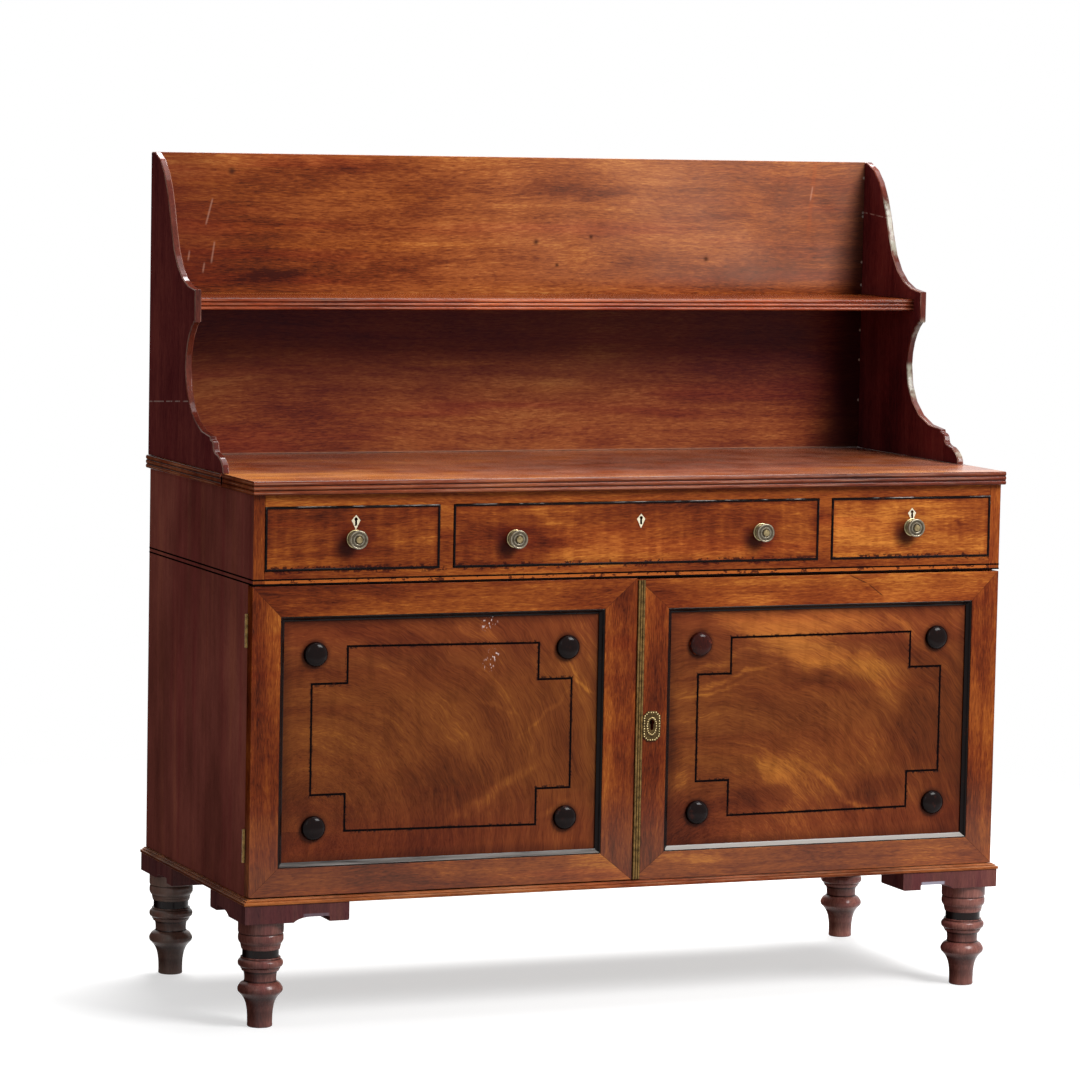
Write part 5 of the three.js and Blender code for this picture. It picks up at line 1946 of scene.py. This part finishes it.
@dataclass
class Door:
    """One door: mitred frame, flush panel, moulding, bosses and string.

    Args:
        side: The door's side.
        seed: The seed of its woods.
        figure: How its panel was cut.
        stiles: The widths of its left and right stiles.
        patches: The lights and darks of its panel.
        frame_patches: Those of its frame.
        string_line: The string's corners from the middle of the panel, in millimetres.
        specks: The white specks on the panel, x and z in millimetres.
        cracks: The points that the frame's crack runs through, x and z in millimetres.
        screws: The hinge screws, each how far in from the leaf's edge and how high.
        rails: The heights of its bottom and top rails.
        mitre_gap: The distance from the mitres, once the frame's grain has been read.
    """

    side: str
    seed: float
    figure: Figure
    stiles: tuple[float, float]
    patches: tuple[Patch, ...]
    frame_patches: tuple[Patch, ...]
    string_line: tuple[tuple[float, float], ...]
    specks: tuple[tuple[float, float], ...] = ()
    cracks: tuple[tuple[float, float], ...] = ()
    screws: tuple[tuple[float, float], ...] = (
        (10 * MM, 8 * MM), (13 * MM, 24 * MM), (10 * MM, 40 * MM),
    )
    rails: tuple[float, float] = (40.0 * MM, 43.6 * MM)
    groove: float = 6.7 * MM
    panel_sink: float = 8.3 * MM
    mitre_gap: Socket | None = None
    boss_inset: float = 55.0 * MM
    boss_facets: int = 56
    string_width: float = 3.1 * MM
    string_sink: float = 0.1 * MM
    string_thick: float = 0.25 * MM
    boss_profile: tuple[tuple[float, float], ...] = (
        (0, 0), (17.2, 0), (17.85, 0.5), (18.0, 1.4), (17.75, 2.4), (17.6, 3.4), (17.0, 4.8),
        (15.8, 6.2), (13.8, 7.5), (11.0, 8.6), (7.5, 9.25), (3.5, 9.5), (0, 9.55),
    )

    @property
    def body(self) -> str:
        """The CAD body that the door is."""
        return f"{self.side}_door"

    @property
    def face(self) -> float:
        """The level of the panel's front face."""
        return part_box(f"{self.side}_door_frame")[0].y + self.panel_sink

    def mitred(self, graph: Graph) -> Socket:
        """Reads the grain along each member of the frame, with mitres at the corners.

        Args:
            graph: The material's graph.

        Returns:
            The place, its axes swapped on the stiles.
        """
        low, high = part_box(f"{self.side}_door_frame")
        across = graph.calc(
            "MINIMUM",
            graph.calc("DIVIDE", graph.minus(graph.x, low.x), self.stiles[0]),
            graph.calc("DIVIDE", graph.minus(high.x, graph.x), self.stiles[1]),
        )
        upward = graph.calc(
            "MINIMUM",
            graph.calc("DIVIDE", graph.minus(graph.z, low.z), self.rails[0]),
            graph.calc("DIVIDE", graph.minus(high.z, graph.z), self.rails[1]),
        )
        self.mitre_gap = graph.minus(across, upward)
        upright = graph.calc("LESS_THAN", across, upward)
        swapped = graph.add("ShaderNodeCombineXYZ", {}, {0: graph.z, 1: graph.y, 2: graph.x})
        return graph.blend(upright, graph.place, swapped.outputs[0])

    def joints(self, graph: Graph, colour: Socket) -> Socket:
        """Draws a pale painted reflection low on the frame, its crack and the lines of its mitres.

        Args:
            graph: The material's graph.
            colour: The colour so far.

        Returns:
            The colour with them on it.
        """
        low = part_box(f"{self.side}_door_frame")[0]
        # A pale painted reflection of the floor, fading up the frame.
        film = graph.span(graph.z, low.z + 0.16, low.z + 0.02)
        colour = graph.stain(colour, film, 0.13, (142, 129, 116))
        for start, end in zip(self.cracks, self.cracks[1:]):
            colour = scratch(graph, colour, start, end, (48, 18, 8), 1.3, 0.75)
        line = graph.span(graph.calc("ABSOLUTE", self.mitre_gap), 0.018, 0.006)
        return graph.stain(colour, line, 0.55, (50, 20, 10))

    def frame_finish(self) -> Finish:
        """Builds the frame's mahogany.

        Returns:
            The material.
        """
        low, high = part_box(f"{self.side}_door_frame")
        return Mahogany(
            f"{self.side}_door_frame_mahogany", Axis.X, seed=self.seed,
            patches=self.frame_patches, red=0.6 if self.side == "left" else 0.35,
        ).make(self.joints, self.mitred, centre=tuple((low + high) / 2))

    def shade_and_dirt(self, centre: Vector, half: Vector, graph: Graph, colour: Socket) -> Socket:
        """Darkens the panel with painted shade and soil round its bosses and at its edges, and in
        chips along its string.

        Args:
            centre: The middle of the panel.
            half: Half of the opening's width and height.
            graph: The material's graph.
            colour: The colour so far.

        Returns:
            The aged colour, with the white specks on it.
        """
        outer = graph.calc("LESS_THAN", graph.y, self.face + MM)
        u, v = graph.gap(graph.x, centre.x), graph.gap(graph.z, centre.z)
        # Painted shade, with some soil, round the bosses and along the opening's edges.
        boss = graph.apart((u, half.x - self.boss_inset), (v, half.z - self.boss_inset))
        edge = graph.calc("MINIMUM", graph.minus(half.x, u), graph.minus(half.z, v))
        mask = graph.calc(
            "MAXIMUM",
            graph.times(graph.span(boss, 0.025, 0.017), graph.times(outer, 0.65)),
            graph.times(graph.span(edge, 0.024, 0.006), 0.45),
        )
        colour = graph.blend(mask, colour, srgb(46, 16, 9))
        ripple = graph.noise(graph.mapped((60, 1, 16), turn=(0, 24, 0)), 3, 0.6)
        ripple = graph.span(ripple.outputs[0], 0.44, 0.7)
        colour = graph.tint(colour, ripple, 0.45, (0.62, 0.56, 0.5))
        colour = graph.tint(colour, graph.span(v, 0.09, 0.17), 0.5, (1.0, 0.74, 0.86))
        colour = graph.tint(colour, graph.span(v, 0.15, 0.05), 0.6, (1.02, 1.12, 0.84))
        wide = self.outside(graph, centre, (0, 5, 6, 11))
        tall = self.outside(graph, centre, (2, 3, 8, 9))
        near = graph.calc("ABSOLUTE", graph.calc("MINIMUM", wide, tall))
        chips = graph.span(graph.cloud(230, 3, 0.65), 0.5, 0.6)
        chips = graph.times(graph.span(near, 0.0042, 0.0012), chips)
        colour = graph.stain(colour, chips, graph.times(outer, 0.9), (32, 12, 8))
        for x, z in self.specks:
            spot = graph.span(graph.apart((graph.x, x * MM), (graph.z, z * MM)), 0.012, 0.004)
            dot = graph.span(graph.cloud((300, 300, 170), 1), 0.6, 0.64)
            dot = graph.times(dot, spot)
            colour = graph.stain(colour, dot, graph.times(outer, 0.8), (226, 206, 200))
        return colour

    def panel_finish(self, centre: Vector, half: Vector) -> Finish:
        """Builds the panel's flame mahogany.

        Args:
            centre: The middle of the panel.
            half: Half of the opening's width and height.

        Returns:
            The material.
        """
        tones = ((50, 21, 11), (98, 45, 22), (126, 66, 32), (186, 114, 50))
        wood = Mahogany(
            f"{self.side}_door_panel_mahogany", Axis.X, tones, self.seed, bands=0.7,
            streaks=0.66, flecks=0.5, figure=self.figure, patches=self.patches,
            clouds=0.5 if self.figure is Figure.FLAME_LEFT else 0.8, red=0.3,
        )
        middle = tuple(centre)
        place = partial(wood.flame, centre=middle)
        return wood.make(partial(self.shade_and_dirt, centre, half), place, centre=middle)

    def outside(self, graph: Graph, centre: Vector, corners: Sequence[int]) -> Socket:
        """Measures how far outside one of the string's two crossing rectangles a place is.

        Args:
            graph: The material's graph.
            centre: The middle of the panel.
            corners: The string's corners that bound the rectangle.

        Returns:
            The distance, negative inside.
        """
        xs = sorted(centre.x + self.string_line[n][0] * MM for n in corners)
        zs = sorted(centre.z + self.string_line[n][1] * MM for n in corners)
        gaps = [
            graph.minus(sum(xs[:2]) / 2, graph.x),
            graph.minus(graph.x, sum(xs[2:]) / 2),
            graph.minus(sum(zs[:2]) / 2, graph.z),
            graph.minus(graph.z, sum(zs[2:]) / 2),
        ]
        gap = gaps[0]
        for other in gaps[1:]:
            gap = graph.calc("MAXIMUM", gap, other)
        return gap

    def string(self, centre: Vector, ebony: Finish) -> None:
        """Lets the notched ebony string into the panel.

        Args:
            centre: The middle of the panel.
            ebony: The string's material.
        """
        grow, back = self.string_width / 2, self.face + self.string_sink
        quarters = ((-1, 1), (1, 1), (1, -1), (-1, -1))
        turns = [quarter for quarter in quarters for _ in range(3)]
        loop = [
            (centre.x + u * MM + sx * grow, back, centre.z + v * MM + sz * grow)
            for (u, v), (sx, sz) in zip(self.string_line, turns)
        ]
        rise = (0, -self.string_thick, 0)
        piece = band(f"{self.side}_door_string", loop, self.string_width, rise)
        fit(piece, self.body, Slot.EBONISED, ebony)

    def bosses(self, centre: Vector, half: Vector, finishes: Sequence[Finish]) -> None:
        """Turns the four bosses.

        Args:
            centre: The middle of the panel.
            half: Half of the opening's width and height.
            finishes: The bosses' materials, along the top and then the bottom.
        """
        for n, (sx, sz) in enumerate(((-1, 1), (1, 1), (-1, -1), (1, -1))):
            foot = (
                centre.x + sx * (half.x - self.boss_inset), self.face,
                centre.z + sz * (half.z - self.boss_inset),
            )
            piece = turned(
                f"{self.side}_door_boss_{n + 1}", self.boss_profile, foot, Axis.Y,
                self.boss_facets,
            )
            fit(piece, self.body, Slot.EBONISED, finishes[n])

    def build(self, ebony: Finish, worn: Finish, string: Finish, moulding: Finish) -> None:
        """Makes the door.

        Args:
            ebony: The bosses' material.
            worn: The upper left boss's material.
            string: The string's material.
            moulding: The moulding's material.
        """
        node = f"{self.side}_door_frame"
        fit(eased(node, 0.7 * MM), self.body, Slot.MAHOGANY, self.frame_finish(), node)
        low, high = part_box(f"{self.side}_door_panel")
        centre = (low + high) / 2
        half = (high - low) / 2 - Vector((self.groove, 0, self.groove))
        dress(f"{self.side}_door_panel", self.panel_finish(centre, half))
        self.string(centre, string)
        self.bosses(centre, half, [worn, ebony, ebony, ebony])
        node = f"{self.side}_door_moulding"
        fit(eased(node, 0.3 * MM), self.body, Slot.EBONISED, moulding, node)
        for level in ("top", "bottom"):
            low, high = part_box(f"right_{level}_hinge_door_leaf")
            screws = tuple((high.x - away, low.z + up) for away, up in self.screws)
            leaf = AgedBrass(f"{self.side}_{level}_hinge_brass", screws=screws).make()
            dress(f"{self.side}_{level}_hinge_fixed_leaf", leaf)
            dress(f"{self.side}_{level}_hinge_door_leaf", leaf)


@dataclass
class DoorFurniture:
    """The brass meeting strip, key plate, lock and flush bolts.

    Args:
        corner: How much of the key plate's sides its cut corners take.
        corner_share: The part of the border that shortens the corners of the ring of beads.
        oval: The half width and half height of the inner ring.
    """

    corner: float = 7.0 * MM
    border: float = 1.9 * MM
    corner_share: float = 0.59
    bead_radius: float = 1.1 * MM
    bead_sink: float = 0.12 * MM
    bead_flat: float = 0.7
    bead_count: int = 30
    oval: tuple[float, float] = (7.2 * MM, 12.6 * MM)
    oval_count: int = 22

    def ball(self, place: Point) -> None:
        """Adds one bead to the scene, or to the piece that is being edited."""
        bpy.ops.mesh.primitive_uv_sphere_add(
            segments=8, ring_count=6, radius=self.bead_radius, location=place
        )

    def beads(self, low: Vector, high: Vector) -> Piece:
        """Sets a row of beads round the key plate's border and an oval of them inside it.

        Args:
            low: The plate's lowest corner.
            high: Its highest corner.

        Returns:
            The beads as one piece, each a half sunk ball.
        """
        w, h, c = (high.x - low.x) / 2, (high.z - low.z) / 2, self.corner
        w, h, c = w - self.border, h - self.border, c - self.border * self.corner_share
        ring = [(w - c, h), (w, h - c), (w, c - h), (w - c, -h),
                (c - w, -h), (-w, c - h), (-w, h - c), (c - w, h)]
        sides = list(zip(ring, [*ring[1:], ring[0]]))
        lengths = [math.dist(a, b) for a, b in sides]
        places = []
        for n in range(self.bead_count):
            left = n / self.bead_count * sum(lengths)
            for (a, b), length in zip(sides, lengths):
                if left <= length:
                    share = left / length
                    places.append(tuple(i + (j - i) * share for i, j in zip(a, b)))
                    break
                left -= length
        for n in range(self.oval_count):
            turn = math.tau * n / self.oval_count
            places.append((self.oval[0] * math.cos(turn), self.oval[1] * math.sin(turn)))
        middle = (low + high) / 2
        points = [(middle.x + u, low.y + self.bead_sink, middle.z + v) for u, v in places]
        bpy.ops.object.select_all(action="DESELECT")
        self.ball(points[0])
        piece = bpy.context.active_object
        piece.name = piece.data.name = "door_key_plate_beads"
        settle(piece)
        with editing(piece):
            for point in points[1:]:
                bpy.ops.mesh.select_all(action="DESELECT")
                self.ball(point)
        with editing(piece):
            bpy.ops.transform.resize(
                value=(1.0, self.bead_flat, 1.0), center_override=(middle.x, points[0][1], middle.z)
            )
        smooth(piece, BEADS_SOFT)
        return piece

    def build(self, brass: Finish, plate_brass: Finish, bead_brass: Finish, steel: Finish) -> None:
        """Makes the furniture of the doors.

        Args:
            brass: The strip's and bolts' material.
            plate_brass: The key plate's material.
            bead_brass: Its beads' material.
            steel: The lock bolt's material.
        """
        piece = eased("meeting_strip", 0.3 * MM, soft=60)
        mark_grooves(piece)
        fit(piece, "right_door", Slot.BRASS, brass, "meeting_strip")
        plate = eased("door_key_plate", 0.3 * MM)
        low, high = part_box("door_key_plate")
        fit(plate, "right_door", Slot.BRASS, plate_brass, "door_key_plate")
        fit(self.beads(low, high), "right_door", Slot.BRASS, bead_brass)
        for node in ("door_lock", "left_door_top_bolt", "left_door_bottom_bolt"):
            dress(node, brass)
        dress("door_lock_bolt", steel)


# Drawers


@dataclass
class Drawer:
    """One drawer: front with its cockbead, box, knobs, key plate and lock."""

    side: str
    seed: float
    knobs: tuple[str, ...]
    patches: tuple[Patch, ...]
    bead_width: float = 2.9 * MM
    bead_back: float = 2.6 * MM
    bead_proud: float = 0.12 * MM
    bead_round_share: float = 0.42
    skin: float = 4 * MM
    keyhole: tuple[float, float] = (3 * MM, 5.6 * MM)
    knob_seat: float = 1.5 * MM
    knob_facets: int = 56
    knob_profile: tuple[tuple[float, float], ...] = (
        (0, -14), (2.4, -14), (2.4, 0.3), (12.8, 0.3), (13.2, 0.8), (13.15, 1.5), (12.5, 1.95),
        (11.5, 1.95), (10.9, 1.6), (9.8, 1.9), (8.5, 2.9), (6.9, 4.4), (6.0, 6.4), (5.7, 8.6),
        (6.2, 10.4), (7.6, 11.9), (10.0, 12.8), (12.2, 13.2), (13.4, 13.9), (13.75, 14.9),
        (13.55, 16.0), (12.9, 16.7), (12.1, 16.9), (11.3, 16.6), (10.9, 16.1), (9.6, 15.8),
        (8.7, 16.0), (8.2, 16.6), (7.3, 16.8), (6.4, 16.5), (5.7, 15.8), (5.2, 16.2),
        (5.1, 17.6), (4.8, 18.7), (4.1, 19.3), (2.2, 19.45), (0, 19.5),
    )

    @property
    def body(self) -> str:
        """The CAD body that the drawer is."""
        return f"{self.side}_drawer"

    def stains_and_shadows(self, graph: Graph, plain: Socket) -> Socket:
        """Stains the front round its knobs and paints their shadows, chips its lower edge and
        paints its keyhole black as shade.

        Args:
            graph: The material's graph.
            plain: The plain wood's colour.

        Returns:
            The stained and shaded colour, and behind the front's skin the plain one.
        """
        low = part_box(f"{self.side}_drawer_front")[0]
        colour = plain
        for node in self.knobs:
            knob = sum(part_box(node), Vector()) / 2
            halo = graph.apart((graph.x, knob.x), (graph.z, knob.z))
            colour = graph.stain(colour, graph.span(halo, 0.042, 0.012), 0.4, (92, 26, 16))
            # Each knob's painted shadow, to its lower left.
            knob_shadow = graph.apart((graph.x, knob.x - 0.012), (graph.z, knob.z - 0.009))
            colour = graph.stain(colour, graph.span(knob_shadow, 0.026, 0.008), 0.72, (52, 14, 12))
        specks = graph.times(graph.cloud(150, 3, 0.6), 0.9)
        spread = graph.linear(graph.cloud((24, 4, 40)), 0.6, specks)
        foot = graph.span(graph.minus(graph.z, low.z), 0.0085, 0.0045)
        chips = graph.times(foot, graph.span(spread, 0.77, 0.8))
        colour = graph.stain(colour, chips, 0.9, (44, 8, 8))
        # The keyhole's opening is painted black: painted shade.
        plate = sum(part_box(f"{self.side}_drawer_key_plate"), Vector()) / 2
        inside = graph.times(
            graph.calc("LESS_THAN", graph.gap(graph.x, plate.x), 0.0031),
            graph.calc("LESS_THAN", graph.gap(graph.z, plate.z), 0.0052),
        )
        colour = graph.blend(inside, colour, (0.002, 0.001, 0.001))
        return graph.blend(graph.calc("LESS_THAN", graph.y, low.y + self.skin), plain, colour)

    def front(self, ebony: Finish) -> None:
        """Dresses the drawer front and lays the ebonised cockbead over its edge.

        Args:
            ebony: The bead's material.
        """
        node = f"{self.side}_drawer_front"
        low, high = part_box(node)
        wood = Mahogany(
            f"{node}_mahogany", Axis.X, seed=self.seed, bars=0.6, patches=self.patches
        ).make(self.stains_and_shadows, rim=Rim(low, high), centre=tuple((low + high) / 2))
        fit(eased(node, 0.3 * MM), self.body, Slot.MAHOGANY, wood, node)
        out, back = self.bead_proud, low.y + self.bead_back
        x0, x1, z0, z1 = low.x - out, high.x + out, low.z - out, high.z + out
        outline = [(x0, back, z0), (x1, back, z0), (x1, back, z1), (x0, back, z1)]
        piece = band(
            f"{self.side}_drawer_cockbead", outline, self.bead_width + 2 * out,
            (0, low.y - out - back, 0), self.bead_width * self.bead_round_share,
        )
        fit(piece, self.body, Slot.EBONISED, ebony)

    def key_plate(self, bone: Finish, ebony: Finish) -> None:
        """Dresses the key plate, black inside its keyhole as painted shade.

        Args:
            bone: The plate's material.
            ebony: The keyhole's material, black as painted shade.
        """
        node = f"{self.side}_drawer_key_plate"
        piece = eased(node, 0.1 * MM)
        middle = sum(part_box(node), Vector()) / 2
        wide, high = self.keyhole

        def in_keyhole(face: bpy.types.MeshPolygon) -> bool:
            """Tells whether a face lies in the keyhole."""
            away = face.center - middle
            return abs(away.x) < wide and abs(away.z) < high and face.normal.y > -0.8

        fit(piece, self.body, Slot.BONE, bone, node)
        # The keyhole's walls take the black finish: painted shade.
        face_finish(piece, ebony, in_keyhole)

    def build(self, ebony: Finish, brass: Finish, bone: Finish, steel: Finish) -> None:
        """Makes the drawer.

        Args:
            ebony: The cockbead's material.
            brass: The lock's material.
            bone: The key plate's material.
            steel: The lock bolt's material.
        """
        self.front(ebony)
        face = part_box(f"{self.side}_drawer_front")[0].y + self.knob_seat
        for node in self.knobs:
            low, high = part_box(node)
            centre = (low + high) / 2
            foot = (centre.x, face, centre.z)
            piece = turned(node + "_turned", self.knob_profile, foot, Axis.Y, self.knob_facets)
            finish = KnobBrass(node + "_brass", face).make()
            fit(piece, self.body, Slot.BRASS, finish, node)
        self.key_plate(bone, ebony)
        box = InnerWood(f"{self.side}_drawer_wood", Axis.Y, (172, 134, 88), self.seed).make()
        dress(f"{self.side}_drawer_box", box)
        dress(f"{self.side}_drawer_lock", brass)
        dress(f"{self.side}_drawer_bolt", steel)


# The first patch of each drawer sets its tone as a whole, darker on the left and lighter on the
# right: partly the wood's own tone, partly painted light from the right.
DRAWERS = (
    ("left", 71.0, ("left_drawer_knob",), (
        Patch(0, 0, 240, 90, 0, -0.15), Patch(-90, 42, 80, 14, 0, -0.1),
        Patch(70, -18, 70, 28, 0, 0.1), Patch(-70, -26, 70, 16, 0, 0.06),
    )),
    ("middle", 75.0, ("middle_drawer_knob_1", "middle_drawer_knob_2"), (
        Patch(40, 0, 250, 80, 0, 0.08), Patch(60, 38, 120, 12, 0, -0.08),
        Patch(-170, -4, 110, 12, -10, -0.16), Patch(0, -30, 230, 26, 0, 0.22),
        Patch(250, -5, 34, 44, 0, 0.14), Patch(-160, 26, 110, 9, -8, 0.16),
    )),
    ("right", 79.0, ("right_drawer_knob",), (
        Patch(0, -6, 260, 70, 0, 0.18), Patch(20, 42, 90, 12, 0, -0.2),
        Patch(-60, -30, 60, 8, 4, -0.12), Patch(40, 8, 80, 6, -4, -0.12),
    )),
)


def main() -> None:
    """Loads the frame and builds every sub-assembly in order."""
    logging.basicConfig(level=logging.INFO, format="%(name)s: %(message)s")
    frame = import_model()
    FRAME_NODES.update(frame["nodes"])
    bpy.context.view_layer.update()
    Studio().build()
    ebony = Ebonised().make()
    boss = Ebonised("ebonised_boss", (22, 8, 7), (84, 34, 22), 0.3, 0.1, 0.1).make()
    worn_boss = Ebonised("ebonised_boss_worn", (60, 18, 12), (134, 56, 28), 0.9, 0.1, 0.1).make()
    middle = (sum(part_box("left_drawer_front"), Vector()) / 2).z
    bead = Ebonised(
        "ebonised_bead", (20, 11, 12), wear=0.5, polish=0.06, dust_and_sheen=0.85, spread=(0.5, 0.64),
        drift=26.0, above=middle,
    ).make()
    # The right door's moulding carries more painted sheen than the left's on what faces up.
    moulding, sheen_moulding = (
        Ebonised(name, (22, 11, 10), polish=0.1, dust_and_sheen=dust_and_sheen, spread=spread, drift=5.0).make()
        for name, dust_and_sheen, spread in (
            ("ebonised_moulding", 0.42, (0.3, 0.72)), ("ebonised_moulding_more_sheen", 0.68, (0.15, 0.5)),
        )
    )
    string = Ebonised("ebonised_string", (14, 6, 6), wear=0.3, polish=0.03).make()
    bone, steel = Bone().make(), DullSteel().make()
    brass = AgedBrass("aged_brass").make()
    plate = AgedBrass("key_plate_brass", (84, 66, 36), (30, 22, 12), 0.45).make()
    bright = AgedBrass("bead_brass", (226, 204, 150), (150, 122, 74), 0.34).make()
    dark = AgedBrass("lock_brass", (44, 34, 20), (16, 12, 8), 0.5).make()
    Carcass().build(string)
    Feet().build(ebony)
    Gallery().build()
    stiles = (42.8 * MM, 49.6 * MM)
    Door(
        "left", 61.0, Figure.FLAME_LEFT, stiles, LEFT_PATCHES, LEFT_FRAME_PATCHES, LEFT_STRING,
        specks=((-232, 571), (-224, 577), (-228, 512), (-220, 526)),
    ).build(boss, boss, string, moulding)
    Door(
        "right", 67.0, Figure.FLAME_RIGHT, stiles[::-1], RIGHT_PATCHES, RIGHT_FRAME_PATCHES,
        RIGHT_STRING, cracks=((340, 631), (372, 617), (399, 597)),
    ).build(boss, worn_boss, string, sheen_moulding)
    DoorFurniture().build(brass, plate, bright, steel)
    for side, seed, knobs, patches in DRAWERS:
        Drawer(side, seed, knobs, patches).build(bead, dark, bone, steel)


if __name__ == "__main__":
    main()
